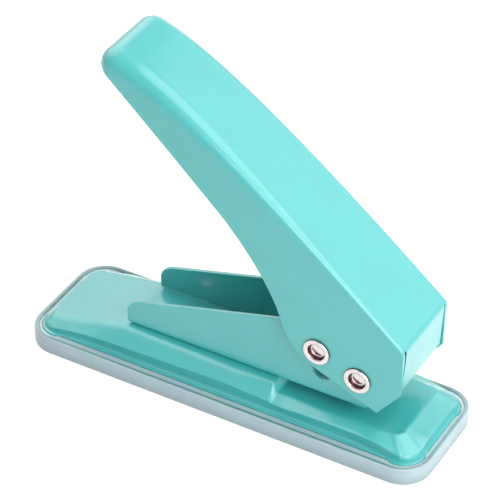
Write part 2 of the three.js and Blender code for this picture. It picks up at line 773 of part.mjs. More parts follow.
// A closed body from the spine: its long edges are rounded, its sides are flat
function leverBody(inset, halfWidth, lowerEdge, reachPast) {
  const steps = 5;
  const spine = leverSpine();
  const rows = [];
  const rowAt = (angle, side) => {
    const spread = 1 - Math.cos(angle);
    const top = spine.map(({ place, normal, edge }, i) => {
      const radius = Math.max(edge - inset, leverSheet / 4);
      const depth = inset + radius * (1 - Math.sin(angle));
      const sunk = place.clone().addScaledVector(normal, -depth);
      if (i === 0) sunk.y -= reachPast;
      return [sunk.x, side * (halfWidth - radius * spread), sunk.y];
    });
    const low = lowerEdge.map((p) => [p.x, side * (halfWidth - leverSheet * spread / 4), p.y]);
    return [...top, ...low];
  };
  for (let i = 0; i <= steps; i += 1) rows.push(rowAt(i / steps * quarter, -1));
  for (let i = steps; i >= 0; i -= 1) rows.push(rowAt(i / steps * quarter, 1));
  const cap = (row) => {
    const outline = row.map(([x, , z]) => new THREE.Vector2(x, z));
    return THREE.ShapeUtils.triangulateShape(outline, []).map((face) => face.map((k) => row[k]));
  };
  return solid(geometryFromTriangles([
    ...rowStrips(rows, true), ...flipped(cap(rows[0])), ...cap(rows[rows.length - 1])]));
}

// Side view of the flap: a sheet that runs on from the fold and leans in under it
function flapShape() {
  const steps = 4;
  const overlap = crownStartNormal / 2;
  const arc = (radius) => Array.from({ length: steps + 1 }, (_, i) => onArc(
    foldCentre, radius, -flapLean + i / steps * (overlap + flapLean)));
  const down = direction(-flapLean - quarter);
  const foot = (radius) => onArc(foldCentre, radius, -flapLean)
    .addScaledVector(down, leverFlapHeight - flapRise);
  const skin = leverFoldRadius;
  const lining = leverFoldRadius - leverSheet;
  return new THREE.Shape([foot(skin), ...arc(skin), ...arc(lining).reverse(), foot(lining)]);
}

function leverHandle() {
  const outer = leverBody(0, leverHalf, leverLowerEdge(), 0);
  const foot = fulcrum.y - leverDrop - overrun;
  const noseX = fulcrum.x - leverNoseReach;
  const underNose = fulcrum.y + leverNoseRise - leverNoseRadius - 2 * overrun;
  const wide = [
    new THREE.Vector2(noseX + leverNoseRadius, underNose),
    new THREE.Vector2(noseX + leverNoseRadius, foot),
    new THREE.Vector2(fulcrum.x + leverDropReach, foot),
  ];
  const inner = leverBody(leverSheet, leverInnerHalf, wide, leverDrop + overrun);
  const flapX = fulcrum.x + leverThroatReach;
  const slitTop = fulcrum.y + leverFlapHeight + leverFoldRadius / 3;
  const behind = (halfWidth, top) => solid(block(
    new THREE.Vector3(flapX - leverFoldRadius, -halfWidth, foot),
    new THREE.Vector3(flapX + overrun, halfWidth, top)));
  const flapHalf = leverInnerHalf - leverSlit;
  const slits = behind(leverInnerHalf, slitTop).subtract(behind(flapHalf, slitTop));
  const through = 2 * (leverHalf + overrun);
  const holes = [fulcrum, driveRest].map((place) => solid(acrossY(
    circleShape(place.x, place.y, tubeRadius + tubeHoleClearance), through)));
  const shell = cut(outer, [inner, slits, behind(flapHalf, foldCentre.y), ...holes]);
  return geometryOf(shell.add(solid(acrossY(flapShape(), 2 * flapHalf))));
}

// Round pieces

// Rivet across the punch, with a rolled flange and a shallow cup at each end
function tubularRivet() {
  const seat = leverHalf;
  const face = seat + tubeFlangeThickness;
  const round = tubeFlangeRound;
  const half = [
    [tubeRadius, seat],
    [tubeFlangeRadius, seat],
    [tubeFlangeRadius, face - round],
    [tubeFlangeRadius - round, face],
    [tubeBoreRadius + round, face],
    [tubeBoreRadius, face - round],
    [tubeBoreRadius, face - tubeCupDepth],
    [0, face - tubeCupDepth],
  ];
  const profile = [...half.map(([radius, y]) => [radius, -y]).reverse(), ...half];
  return new THREE.LatheGeometry(
    profile.map(([radius, y]) => new THREE.Vector2(radius, y)), circleSteps);
}

const fulcrumSpacer = () => ring(
  tubeRadius + tubeHoleClearance, spacerRadius, 0, spacerThickness).applyMatrix4(sideways);

// Punch pin: cutting shank with a notched tip, and a head with a cross slot for the drive rivet
function punchPin() {
  const tip = platformTop + punchTipRecess;
  const top = driveRest.y + punchHeadAbove;
  const chamfer = punchHeadChamfer;
  const blank = solid(turned([
    [0, tip], [punchRadius, tip], [punchRadius, punchSeat], [punchHeadRadius, punchSeat],
    [punchHeadRadius, top - chamfer], [punchHeadRadius - chamfer, top], [0, top],
  ]).translate(punchX, 0, 0));
  const notch = new THREE.Shape([
    new THREE.Vector2(punchX - 2 * punchRadius, tip - punchNotchDepth),
    new THREE.Vector2(punchX + 2 * punchRadius, tip - punchNotchDepth),
    new THREE.Vector2(punchX, tip + punchNotchDepth),
  ]);
  const sweep = driveArm * (1 - Math.cos(driveRestAngle)) / 2 + punchSlotClearance;
  const slot = new THREE.Shape();
  slot.moveTo(punchX - sweep, driveRest.y - punchSlotHalfHeight);
  slot.absarc(punchX + sweep, driveRest.y, punchSlotHalfHeight, -quarter, quarter, false);
  slot.absarc(punchX - sweep, driveRest.y, punchSlotHalfHeight, quarter, 3 * quarter, false);
  const through = 2 * (punchHeadRadius + overrun);
  return geometryOf(cut(blank, [solid(acrossY(notch, through)), solid(acrossY(slot, through))]));
}

function punchDie() {
  const bore = punchRadius + runningClearance;
  const neck = punchRadius + dieRingWall;
  const flange = neck + dieFlangeWall;
  const under = throatDeckTop - baseSheet;
  return turned([
    [bore, under - dieFlangeSheet], [flange, under - dieFlangeSheet], [flange, under],
    [neck, under], [neck, throatDeckTop - dieRecess], [bore, throatDeckTop - dieRecess],
    [bore, under - dieFlangeSheet],
  ]);
}

function frameRivet() {
  const under = platformTop - baseSheet;
  const domeSteps = 4;
  const dome = Array.from({ length: domeSteps + 1 }, (_, i) => {
    const angle = i / domeSteps * quarter;
    return [rivetHeadRadius * Math.cos(angle), webTop + rivetHeadHeight * Math.sin(angle)];
  });
  dome[domeSteps][0] = 0;
  return turned([
    [0, under - rivetTailHeight], [rivetTailRadius, under - rivetTailHeight],
    [rivetTailRadius, under], [rivetRadius, under], [rivetRadius, webTop], ...dome,
  ]);
}

// Coil of round wire between the web and the punch's head
function returnSpring() {
  const stepsPerTurn = 8;
  const sides = 5;
  const wire = springWire / 2;
  const coil = guideRadius + springRoom + wire;
  const low = webTop + springEndGap + wire;
  const high = punchSeat - springEndGap - wire;
  const count = springTurns * stepsPerTurn;
  const centres = Array.from({ length: count + 1 }, (_, i) => {
    const turn = i / stepsPerTurn * 2 * Math.PI;
    return new THREE.Vector3(
      punchX + coil * Math.cos(turn), coil * Math.sin(turn), low + i / count * (high - low));
  });
  const rows = centres.map((centre, i) => {
    const turn = i / stepsPerTurn * 2 * Math.PI;
    const outward = new THREE.Vector3(Math.cos(turn), Math.sin(turn), 0);
    return Array.from({ length: sides }, (_, k) => {
      const angle = k / sides * 2 * Math.PI;
      const place = centre.clone().addScaledVector(outward, wire * Math.cos(angle));
      return [place.x, place.y, place.z + wire * Math.sin(angle)];
    });
  });
  const fan = (row) => row.slice(2).map((_, k) => [row[0], row[k + 1], row[k + 2]]);
  const pitches = centres.slice(stepsPerTurn).map((centre, i) => centre.distanceTo(centres[i]));
  const leastGap = Math.min(...pitches) - springWire;
  console.log(`least gap between the spring's turns ${leastGap.toFixed(2)} mm`);
  return geometryFromTriangles([
    ...rowStrips(rows, true), ...flipped(fan(rows[0])), ...fan(rows[rows.length - 1])]);
}

// Finishes
const finish = (color, roughness, metalness) => new THREE.MeshStandardMaterial(
  { color, roughness, metalness });
const paint = finish(0x6fc7c1, 0.35, 0.1);
const plate = finish(0xd8d2cf, 0.2, 1);
const steel = finish(0x9a9ca0, 0.35, 1);
const clearPlastic = finish(0xbcd0d6, 0.4, 0);
clearPlastic.transparent = true;
clearPlastic.opacity = 0.6;
const nylon = finish(0xe4e2dc, 0.6, 0);

const punch = new THREE.Group();

function place(name, geometry, material, position = [0, 0, 0]) {
  const mesh = new THREE.Mesh(closedMesh(geometry), material);
  mesh.geometry.computeVertexNormals();
  mesh.name = name;
  mesh.position.set(...position);
  punch.add(mesh);
}

place('chip_tray', chipTray(), clearPlastic);
place('base_plate', basePlate(), paint);
place('channel_frame', channelFrame(), paint);
for (const [name, x] of Object.entries(rivetXs)) place(name, frameRivet(), steel, [x, 0, 0]);
place('lever_handle', leverHandle(), paint);
place('fulcrum_rivet', tubularRivet(), plate, [fulcrum.x, 0, fulcrum.y]);
place('drive_rivet', tubularRivet(), plate, [driveRest.x, 0, driveRest.y]);
const spacerPlace = frameWidth / 2 + sideClearance;
place('fulcrum_spacer_near', fulcrumSpacer(), nylon, [fulcrum.x, -spacerPlace, fulcrum.y]);
place('fulcrum_spacer_far', fulcrumSpacer(), nylon,
  [fulcrum.x, spacerPlace + spacerThickness, fulcrum.y]);
place('punch_pin', punchPin(), steel);
place('punch_guide',
  ring(punchRadius + runningClearance, guideRadius, platformTop, guideTop), steel, [punchX, 0, 0]);
place('punch_die', punchDie(), steel, [punchX, 0, 0]);
place('return_spring', returnSpring(), steel);

export default punch;
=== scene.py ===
"""Looks of a single hole punch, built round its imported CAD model. Sizes are in millimetres."""

from math import asin, atan2, copysign, cos, hypot, pi, radians, sin, sqrt

import bpy
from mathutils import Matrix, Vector
from mathutils.geometry import delaunay_2d_cdt


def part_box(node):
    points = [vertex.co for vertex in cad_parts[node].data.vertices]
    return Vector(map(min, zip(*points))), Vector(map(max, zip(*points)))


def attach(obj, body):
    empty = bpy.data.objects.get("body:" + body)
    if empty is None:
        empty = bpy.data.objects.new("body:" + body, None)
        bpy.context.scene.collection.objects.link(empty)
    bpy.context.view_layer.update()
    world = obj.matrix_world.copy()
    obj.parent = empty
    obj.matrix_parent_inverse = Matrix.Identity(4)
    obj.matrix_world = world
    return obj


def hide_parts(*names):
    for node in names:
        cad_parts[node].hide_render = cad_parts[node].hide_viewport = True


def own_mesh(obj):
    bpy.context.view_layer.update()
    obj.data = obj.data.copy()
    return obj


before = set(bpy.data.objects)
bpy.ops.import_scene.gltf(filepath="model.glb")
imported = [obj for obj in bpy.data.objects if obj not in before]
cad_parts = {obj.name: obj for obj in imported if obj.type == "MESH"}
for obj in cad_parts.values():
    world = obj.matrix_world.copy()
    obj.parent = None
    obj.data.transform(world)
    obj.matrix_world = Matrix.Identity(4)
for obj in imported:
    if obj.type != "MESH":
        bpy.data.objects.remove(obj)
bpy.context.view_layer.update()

MM = 0.001
QUARTER = pi / 2

# Sizes that the pieces share
PUNCH_X = 27.05
HOLE_MARGIN = 12
FRAME_SHEET = 1.1
FRAME_WIDTH = 18.1
FRAME_BEND = 1.2
FLANGE_TOP = 4.9
SHELF_TOP = 3.9
BASE_SHEET = 1.0
THROAT_DECK_TOP = 9.85
PLATFORM_TOP = 12.4
WEB_TOP = PLATFORM_TOP + FRAME_SHEET
STOP_X = PUNCH_X - HOLE_MARGIN
FRAME_TAIL_X = PUNCH_X - 58.9
FRAME_THROAT_X = PUNCH_X + 13.4
FRAME_RIVETS = (("tail", FRAME_TAIL_X + 11), ("throat", STOP_X - 12))
FRAME_RIVET_HOLE = 1.55
DRIVE_ARM = 12.66
DRIVE_REST = radians(21)
SWING = radians(40)
FULCRUM = (PUNCH_X + DRIVE_ARM * (cos(DRIVE_REST) + 1) / 2, PLATFORM_TOP + 12.2)
TUBE_RADIUS = 2.65
TUBE_BORE = 2.15
TUBE_HOLE = TUBE_RADIUS + 0.06
GUIDE_RADIUS = 3.7
PIN_BORE = 3.05
DIE_RADIUS = 4.5
DIE_FLANGE = 6.1
FLANGE_END = 57.5
FLANGE_SIDE = 15.05
LEVER_HALF = 12.4
RIVET_RISE = 0.7
CUP_DEPTH = 1.6
TRAY_LENGTH = 120.0
TRAY_WIDTH = 36.5
TRAY_HEIGHT = 5.1
TRAY_CORNER = 8.3
TRAY_WALL = 1.2
TRAY_SIDE_LEDGE = 1.85
TRAY_END_LEDGE = 0.7
END_LIP = 0.52
LOBE_POCKET = 0.15
TRAY_CENTRE = (TRAY_LENGTH / 2 - TRAY_CORNER, TRAY_WIDTH / 2 - TRAY_CORNER)
LOBE_RADIUS = 6.1
LOBE_CENTRE = Vector((58 - LOBE_RADIUS, 15.9 - LOBE_RADIUS))
RIM = 0.24


def drive_place(turned):
    return (
        FULCRUM[0] - DRIVE_ARM * cos(DRIVE_REST - turned),
        FULCRUM[1] + DRIVE_ARM * sin(DRIVE_REST - turned),
    )


DRIVE = drive_place(0)


# Small helpers for curves


def spaced(low, high, count):
    """Evenly spaced numbers, both ends included."""
    return [low + (high - low) * i / count for i in range(count + 1)]


def bezier(points, steps):
    """Points along a quadratic or cubic curve, both ends included."""
    made = []
    for step in range(steps + 1):
        level = [Vector(p) for p in points]
        while len(level) > 1:
            level = [a.lerp(b, step / steps) for a, b in zip(level, level[1:])]
        made.append(tuple(level[0]))
    return made


def arc(x, y, radius, start, end, steps):
    turns = spaced(start, end, steps)
    return [(x + radius * cos(a), y + radius * sin(a)) for a in turns]


def circle(x, y, radius, steps=48):
    return arc(x, y, radius, 0, 2 * pi, steps)[:-1]


def turns_left(loop):
    """Whether a closed loop runs anticlockwise."""
    (x, y), area = loop[0], 0
    for a, b in zip(loop[1:], loop[2:]):
        area += (a[0] - x) * (b[1] - y) - (b[0] - x) * (a[1] - y)
    return area > 0


def moved_left(path, by, closed=True):
    """A path moved to its left by a distance, which draws in an anticlockwise loop."""
    points = [Vector(p) for p in path]
    count = len(points)
    made = []
    for i, here in enumerate(points):
        ways = []
        if closed or i > 0:
            ways.append((here - points[i - 1]).normalized())
        if closed or i < count - 1:
            ways.append((points[(i + 1) % count] - here).normalized())
        normals = [Vector((-way.y, way.x)) for way in ways]
        mitre = sum(normals, Vector((0, 0))).normalized()
        made.append(tuple(here + mitre * by / max(mitre.dot(normals[0]), 0.5)))
    return made


def smooth(share):
    share = min(max(share, 0), 1)
    return share * share * (3 - 2 * share)


def inside(loops, x, y):
    """Even-odd test of a point against all loops."""
    odd = False
    for loop in loops:
        for (ax, ay), (bx, by) in zip(loop, loop[1:] + loop[:1]):
            if (ay > y) != (by > y) and x < ax + (y - ay) / (by - ay) * (bx - ax):
                odd = not odd
    return odd


def filled(loops, lines=()):
    """Triangles of a flat region with holes, whose edges follow lines between two points."""
    points, edges = [], []
    for loop in loops:
        first = len(points)
        points += loop
        edges += [(first + i, first + (i + 1) % len(loop)) for i in range(len(loop))]
    for a, b in lines:
        edges.append((len(points), len(points) + 1))
        points += [a, b]
    found, _, faces, *_ = delaunay_2d_cdt([Vector(p) for p in points], edges, [], 0, 1e-5)
    triangles = []
    for face in faces:
        corners = [tuple(found[i]) for i in face]
        middle = [sum(c[k] for c in corners) / 3 for k in (0, 1)]
        if inside(loops, *middle):
            triangles.append(corners)
    return triangles


# Sheet metal: an outer skin, an inner skin and a rounded rim between them


class Sheet:
    def __init__(self):
        self.outer = []
        self.inner = []
        self.faces = []
        self.index = {}

    def point(self, outer, inner):
        key = tuple(round(v, 3) for v in outer)
        if key not in self.index:
            self.index[key] = len(self.outer)
            self.outer.append(Vector(outer))
            self.inner.append(Vector(inner))
        return self.index[key]

    def face(self, *pairs):
        ids = [self.point(*pair) for pair in pairs]
        ids = [v for k, v in enumerate(ids) if v != ids[k - 1]]
        if len(set(ids)) > 2:
            self.faces.append(ids)

    def grid(self, rows):
        """Quads between rows of (outer, inner) pairs."""
        for low, high in zip(rows, rows[1:]):
            for i in range(len(low) - 1):
                self.face(low[i], low[i + 1], high[i + 1], high[i])

    def rims(self):
        edges = {(a, b) for face in self.faces for a, b in zip(face, face[1:] + face[:1])}
        following = {a: b for a, b in edges if (b, a) not in edges}
        loops = []
        while following:
            loop = [min(following)]
            while following.get(loop[-1]) is not None:
                step = following.pop(loop[-1])
                if step == loop[0]:
                    break
                loop.append(step)
            loops.append(loop)
        return loops

    def mesh(self, steps=3):
        """Vertices and faces of the closed body."""
        verts = [*self.outer, *self.inner]
        count = len(self.outer)
        faces = [list(f) for f in self.faces]
        faces += [[count + i for i in reversed(f)] for f in self.faces]
        bend = [(RIM * sin(a), RIM * (1 - cos(a))) for a in spaced(0, QUARTER, steps)[1:]]
        profile = [(self.outer, out, down) for out, down in bend]
        profile += [(self.inner, out, -down) for out, down in reversed(bend)]
        for loop in self.rims():
            places = [self.outer[i] for i in loop]
            outward, through = [], []
            for k, here in enumerate(places):
                ahead = (places[(k + 1) % len(places)] - here).normalized()
                behind = (here - places[k - 1]).normalized()
                depth = (self.inner[loop[k]] - here).normalized()
                a, b = ahead.cross(-depth).normalized(), behind.cross(-depth).normalized()
                mitre = (a + b).normalized()
                outward.append(mitre / max(mitre.dot(a), 0.5))
                through.append(depth)
            rings = [loop]
            for skin, out, down in profile:
                rings.append(range(len(verts), len(verts) + len(loop)))
                verts += [
                    skin[i] + outward[k] * out + through[k] * down for k, i in enumerate(loop)]
            rings.append([count + i for i in loop])
            for near, far in zip(rings, rings[1:]):
                for k in range(len(loop)):
                    n = (k + 1) % len(loop)
                    faces.append([near[n], near[k], far[k], far[n]])
        return verts, faces


def new_object(name, verts, faces):
    mesh = bpy.data.meshes.new(name)
    mesh.from_pydata([Vector(v) * MM for v in verts], [], faces)
    mesh.validate()
    mesh.shade_smooth()
    made = bpy.data.objects.new(name, mesh)
    bpy.context.scene.collection.objects.link(made)
    return made


def applied(obj):
    """The object's mesh with its modifiers made real."""
    graph = bpy.context.evaluated_depsgraph_get()
    mesh = bpy.data.meshes.new_from_object(obj.evaluated_get(graph))
    obj.modifiers.clear()
    obj.data = mesh
    return obj


def boolean(obj, operation, *tools):
    for tool in tools:
        change = obj.modifiers.new("join", "BOOLEAN")
        change.operation = operation
        change.solver = "EXACT"
        change.object = tool
    applied(obj)
    for tool in tools:
        bpy.data.objects.remove(tool)
    return obj


def shaded(obj, sharp_degrees=40):
    """Smooth faces whose normals follow the larger faces."""
    obj.data.shade_smooth()
    obj.data.set_sharp_from_angle(angle=radians(sharp_degrees))
    weigh = obj.modifiers.new("weigh", "WEIGHTED_NORMAL")
    weigh.keep_sharp = True
    weigh.weight = 80
    return obj


def lathed(name, profile, steps=96, axis="Z", centre=(0, 0, 0)):
    """Closed profile of (radius, along) points turned about an axis through centre."""
    verts, faces, rings = [], [], []
    for radius, along in profile:
        ring = []
        for i in range(1 if radius == 0 else steps):
            turn = 2 * pi * i / steps
            a, b = radius * cos(turn), radius * sin(turn)
            place = (a, b, along) if axis == "Z" else (b, along, a)
            ring.append(len(verts))
            verts.append(tuple(p + c for p, c in zip(place, centre)))
        rings.append(ring)
    closed = profile[0][0] != 0
    pairs = list(zip(rings, rings[1:])) + ([(rings[-1], rings[0])] if closed else [])
    for low, high in pairs:
        for i in range(steps):
            n = (i + 1) % steps
            quad = [low[i % len(low)], low[n % len(low)], high[n % len(high)], high[i % len(high)]]
            quad = [v for k, v in enumerate(quad) if v != quad[k - 1]]
            faces.append(quad)
    return new_object(name, verts, faces)


def rounded_profile(points, radius, steps=4):
    """A closed profile whose corners are rounded, except those on the axis."""
    made = []
    count = len(points)
    for i, here in enumerate(points):
        here = Vector(here)
        if here.x == 0:
            made.append(tuple(here))
            continue
        before, after = Vector(points[i - 1]), Vector(points[(i + 1) % count])
        reach = min(radius, (before - here).length / 2.1, (after - here).length / 2.1)
        start = here + (before - here).normalized() * reach
        end = here + (after - here).normalized() * reach
        made += bezier([start, here, end], steps)
    return made


def stacked(name, verts, count, flip=False):
    """A closed body with flat ends, from rings that have count vertices each."""
    rings = [range(i, i + count) for i in range(0, len(verts), count)]
    faces = []
    for low, high in zip(rings, rings[1:]):
        for i in range(count):
            n = (i + 1) % count
            faces.append([low[i], low[n], high[n], high[i]])
    faces += [rings[0][::-1], rings[-1]]
    made = new_object(name, verts, faces)
    if flip:
        made.data.flip_normals()
    return made


def prism(name, shape, low, high, axis="Z"):
    """A flat shape drawn across Y or Z, through a span along that axis."""
    shape = shape if turns_left(shape) else shape[::-1]
    verts = [(a, b, c) if axis == "Z" else (a, c, b) for c in (low, high) for a, b in shape]
    return stacked(name, verts, len(shape), axis == "Y")


# Materials


def added(tree, kind, inputs, **settings):
    """A node whose inputs, by name or number, are linked to a socket or set to a value."""
    node = tree.nodes.new("ShaderNode" + kind)
    for key, value in settings.items():
        setattr(node, key, value)
    for key, value in inputs.items():
        if isinstance(value, bpy.types.NodeSocket):
            tree.links.new(value, node.inputs[key])
        else:
            node.inputs[key].default_value = value
    return node


def coordinates(tree):
    return added(tree, "TexCoord", {}).outputs["Object"]


def noise(tree, scale, detail=2.0, stretch=(1, 1, 1)):
    """Noise in object coordinates. The scale is in cells per metre."""
    place = added(tree, "Mapping", {"Vector": coordinates(tree), "Scale": stretch})
    return added(tree, "TexNoise", {
        "Vector": place.outputs["Vector"], "Scale": scale, "Detail": detail}).outputs["Fac"]


def ranged(tree, value, low, high, from_low=0.3, from_high=0.7):
    return added(tree, "MapRange", {
        "Value": value, "From Min": from_low, "From Max": from_high,
        "To Min": low, "To Max": high}).outputs["Result"]


def graded(tree, length, low, high, start, end):
    """A value that changes from low to high between two lengths in millimetres."""
    return ranged(tree, length, low, high, start * MM, end * MM)


def mixed(tree, share, first, second):
    """A colour between a first, fixed or from the node tree, and a fixed second."""
    if not isinstance(first, bpy.types.NodeSocket):
        first = (*first, 1)
    return added(
        tree, "Mix", {"Factor": share, 6: first, 7: (*second, 1)}, data_type="RGBA").outputs[2]


def mottled(tree, scale, detail, first, second):
    return mixed(tree, ranged(tree, noise(tree, scale, detail), 0, 1), first, second)


def computed(tree, operation, *values):
    return added(tree, "Math", dict(enumerate(values)), operation=operation).outputs["Value"]


def summed(tree, first, second):
    return computed(tree, "ADD", first, second)


def multiplied(tree, first, second):
    return computed(tree, "MULTIPLY", first, second)


def away(tree, axis):
    """Distance of a place from the object's middle plane across an axis."""
    parts = added(tree, "SeparateXYZ", {"Vector": coordinates(tree)})
    return computed(tree, "ABSOLUTE", parts.outputs[axis])


def material(name, recipe, **inputs):
    """A material whose recipe gives its colour, its roughness and its layers of bump."""
    made = bpy.data.materials.new(name)
    made.use_nodes = True
    tree = made.node_tree
    shader = tree.nodes["Principled BSDF"]
    for key, value in inputs.items():
        shader.inputs[key.replace("_", " ")].default_value = value
    colour, roughness, *layers = recipe(tree)
    normal = {}
    for height, strength, distance in layers:
        bump = added(tree, "Bump", {
            "Height": height, "Strength": strength, "Distance": distance, **normal})
        normal = {"Normal": bump.outputs["Normal"]}
    for key, value in {"Base Color": colour, "Roughness": roughness, **normal}.items():
        tree.links.new(value, shader.inputs[key])
    return made


def enamel(tree):
    return (
        mottled(tree, 90, 3, (0.050, 0.440, 0.430), (0.058, 0.466, 0.456)),
        ranged(tree, noise(tree, 400, 4), 0.3, 0.4),
        (noise(tree, 900, 1.5), 0.12, 0.00006),
        (noise(tree, 5000, 2), 0.08, 0.00001))


def nickel(tree):
    """Bright plate, darker below the rolled face and round the cup's wall. On the flange's side
    this is a painted dark reflection and shade.
    """
    face = LEVER_HALF + RIVET_RISE
    floor = face - CUP_DEPTH
    bright = mottled(tree, 600, 3, (0.60, 0.545, 0.54), (0.70, 0.635, 0.63))
    ripple = ranged(tree, noise(tree, 2200, 3), -0.05 * MM, 0.05 * MM)
    depth = summed(tree, away(tree, "Y"), ripple)
    # Painted dark reflection and shade on the flange's side, which also darkens the cup's wall
    painted_dark_band = multiplied(
        tree, graded(tree, depth, 1, 0, face - 0.26, face - 0.18),
        graded(tree, depth, 0, 1, floor + 0.12, floor + 0.16))
    return (
        mixed(tree, painted_dark_band, bright, (0.13, 0.06, 0.065)),
        ranged(tree, noise(tree, 1500, 4), 0.08, 0.2),
        (noise(tree, 2500, 3), 0.15, 0.00001))


def steel(tree):
    streaks = noise(tree, 3500, 3, stretch=(1, 1, 0.06))
    return (
        mixed(tree, streaks, (0.40, 0.41, 0.43), (0.60, 0.61, 0.63)),
        ranged(tree, streaks, 0.22, 0.42),
        (streaks, 0.25, 0.00001))


def nylon(tree):
    return (
        mottled(tree, 700, 2, (0.72, 0.71, 0.68), (0.80, 0.79, 0.76)),
        ranged(tree, noise(tree, 1800, 3), 0.42, 0.55),
        (noise(tree, 2600, 3), 0.2, 0.00002))


def cloudy(tree):
    """Cloudy plastic. Painted shade makes it darker towards the bottom of its wall and along the
    top of its wall, and painted light makes the ledge inside it pale, near white at the ends.
    """
    colour = mottled(tree, 140, 3, (0.50, 0.655, 0.70), (0.56, 0.71, 0.76))
    height = away(tree, "Z")
    squares = []
    for axis, centre in zip("XY", TRAY_CENTRE):
        beyond = computed(tree, "MAXIMUM", summed(tree, away(tree, axis), -centre * MM), 0)
        squares.append(computed(tree, "POWER", beyond, 2))
    reach = computed(tree, "POWER", summed(tree, *squares), 0.5)
    wave = ranged(tree, noise(tree, 300, 2), -0.06 * MM, 0.06 * MM)
    within = summed(tree, computed(tree, "SUBTRACT", TRAY_CORNER * MM, reach), wave)
    wall_ends = (TRAY_WALL + 0.1, TRAY_WALL + 0.35)
    # Share of the ends, where painted light pales the ledge and weakens the rim's painted shade
    end_light_share = graded(tree, away(tree, "X"), 0, 1, 50, 57)
    # Painted shade along the top of the wall, weaker at the ends where the light falls
    painted_rim_shade = multiplied(
        tree, graded(tree, within, 0, 1, 0.25, 0.42), graded(tree, within, 1, 0, *wall_ends))
    painted_rim_shade = multiplied(tree, painted_rim_shade, computed(tree, "SUBTRACT", 1, multiplied(tree, end_light_share, 0.6)))
    on_top = graded(tree, height, 0, 1, TRAY_HEIGHT - 0.7, TRAY_HEIGHT - 0.5)
    # Painted light on the ledge inside the wall, near white at the ends where the light falls
    ledge = multiplied(
        tree, graded(tree, within, 0, 1, *wall_ends),
        graded(tree, height, 0, 1, SHELF_TOP - 0.6, SHELF_TOP - 0.4))
    # Painted shade towards the bottom of the wall and along its top, and painted light on the ledge
    for share, tone in (
            (graded(tree, height, 0.6, 0, 0.5, 3.2), (0.30, 0.41, 0.45)),
            (multiplied(tree, painted_rim_shade, on_top), (0.17, 0.34, 0.345)),
            (ledge, (0.60, 0.70, 0.75)),
            (multiplied(tree, ledge, end_light_share), (0.95, 0.97, 0.97))):
        colour = mixed(tree, share, colour, tone)
    return (
        colour,
        ranged(tree, noise(tree, 700, 4), 0.32, 0.42),
        (noise(tree, 1600, 3), 0.15, 0.00003))


LOOKS = {
    "mint_paint": material(
        "mint_enamel", enamel, IOR=1.5, Coat_Weight=1.0, Coat_Roughness=0.16, Coat_IOR=1.5),
    "nickel_plate": material("nickel_plate", nickel, Metallic=1.0),
    "plain_steel": material("plain_steel", steel, Metallic=1.0),
    "white_nylon": material("white_nylon", nylon, Subsurface_Weight=0.15, Subsurface_Scale=0.002),
    "clear_plastic": material(
        "cloudy_plastic", cloudy, IOR=1.49, Transmission_Weight=0.25, Subsurface_Weight=0.3,
        Subsurface_Scale=0.004),
}


def finish_piece(obj, body, slot, *nodes):
    obj.data.materials.clear()
    obj.data.materials.append(LOOKS[slot])
    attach(obj, body)
    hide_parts(*nodes)
    return obj


# Lever

LEVER_SHEET = 1.2
NOSE_REACH = 76.3
NOSE_RISE = 69.7
NOSE_RADIUS = 5.0
FOLD_RADIUS = 3.0
FLAP_HEIGHT = 12.5
FLAP_HALF = 10.6
EDGE_AT_FLAP = 0.3
EDGE_AT_FOLD = 0.9
EDGE_AT_NOSE = 4.8
WALL_LEAN = radians(1)
FLAP_LEAN = radians(3.5)
FLAP_RISE = 0.4
CROWN_FOLD = QUARTER - radians(40.2)
CROWN_NOSE = QUARTER - radians(17)
FOLD_CENTRE = Vector((FULCRUM[0] + 12.5 - FOLD_RADIUS, FULCRUM[1] + FLAP_HEIGHT))
SLIT_ANGLE = asin(1 / 3)
NOSE_CENTRE = Vector((FULCRUM[0] - NOSE_REACH + NOSE_RADIUS, FULCRUM[1] + NOSE_RISE))
CUT_START = Vector((FULCRUM[0] - 0.9517 * NOSE_REACH, FULCRUM[1] + 0.975 * NOSE_RISE))
CUT_END = Vector((FULCRUM[0] - 0.727 * NOSE_REACH, FULCRUM[1] + 0.746 * NOSE_RISE))


def direction(angle):
    return Vector((cos(angle), sin(angle)))


def above_cut(place):
    """Height of a place above the plane that cuts off the nose and the lower edge."""
    way = (CUT_END - CUT_START).normalized()
    away = Vector((-way.y, way.x))
    return (place - CUT_START).dot(away) - RIM, away


def nose_end():
    """Angle at which the nose meets the cut."""
    low, high = QUARTER, pi + 0.3
    for _ in range(40):
        middle = (low + high) / 2
        if above_cut(NOSE_CENTRE + direction(middle) * NOSE_RADIUS)[0] > 0:
            low = middle
        else:
            high = middle
    return low


def on_fold(angle):
    return FOLD_CENTRE + direction(angle) * FOLD_RADIUS


def lever_spine():
    """Fold, crown and nose: (place, outward normal, radius of the long edges)."""
    spine = []

    def add(place, angle, edge):
        spine.append((place, direction(angle), edge))

    for angle in spaced(SLIT_ANGLE, CROWN_FOLD, 14):
        share = smooth((angle + WALL_LEAN) / (CROWN_FOLD + WALL_LEAN))
        edge = EDGE_AT_FLAP + (EDGE_AT_FOLD - EDGE_AT_FLAP) * share
        add(on_fold(angle), angle, edge)
    start = on_fold(CROWN_FOLD)
    end = NOSE_CENTRE + direction(CROWN_NOSE) * NOSE_RADIUS
    crown = bezier([
        start,
        start + direction(CROWN_FOLD + QUARTER) * 0.39 * NOSE_REACH,
        end + direction(CROWN_NOSE - QUARTER) * 0.29 * NOSE_REACH,
        end], 72)
    for i in range(1, len(crown) - 1):
        along = Vector(crown[i + 1]) - Vector(crown[i - 1])
        edge = EDGE_AT_FOLD + (EDGE_AT_NOSE - EDGE_AT_FOLD) * smooth(i / (len(crown) - 1))
        add(Vector(crown[i]), atan2(along.y, along.x) - QUARTER, edge)
    for angle in spaced(CROWN_NOSE, nose_end(), 26):
        add(NOSE_CENTRE + direction(angle) * NOSE_RADIUS, angle, EDGE_AT_NOSE)
    return spine


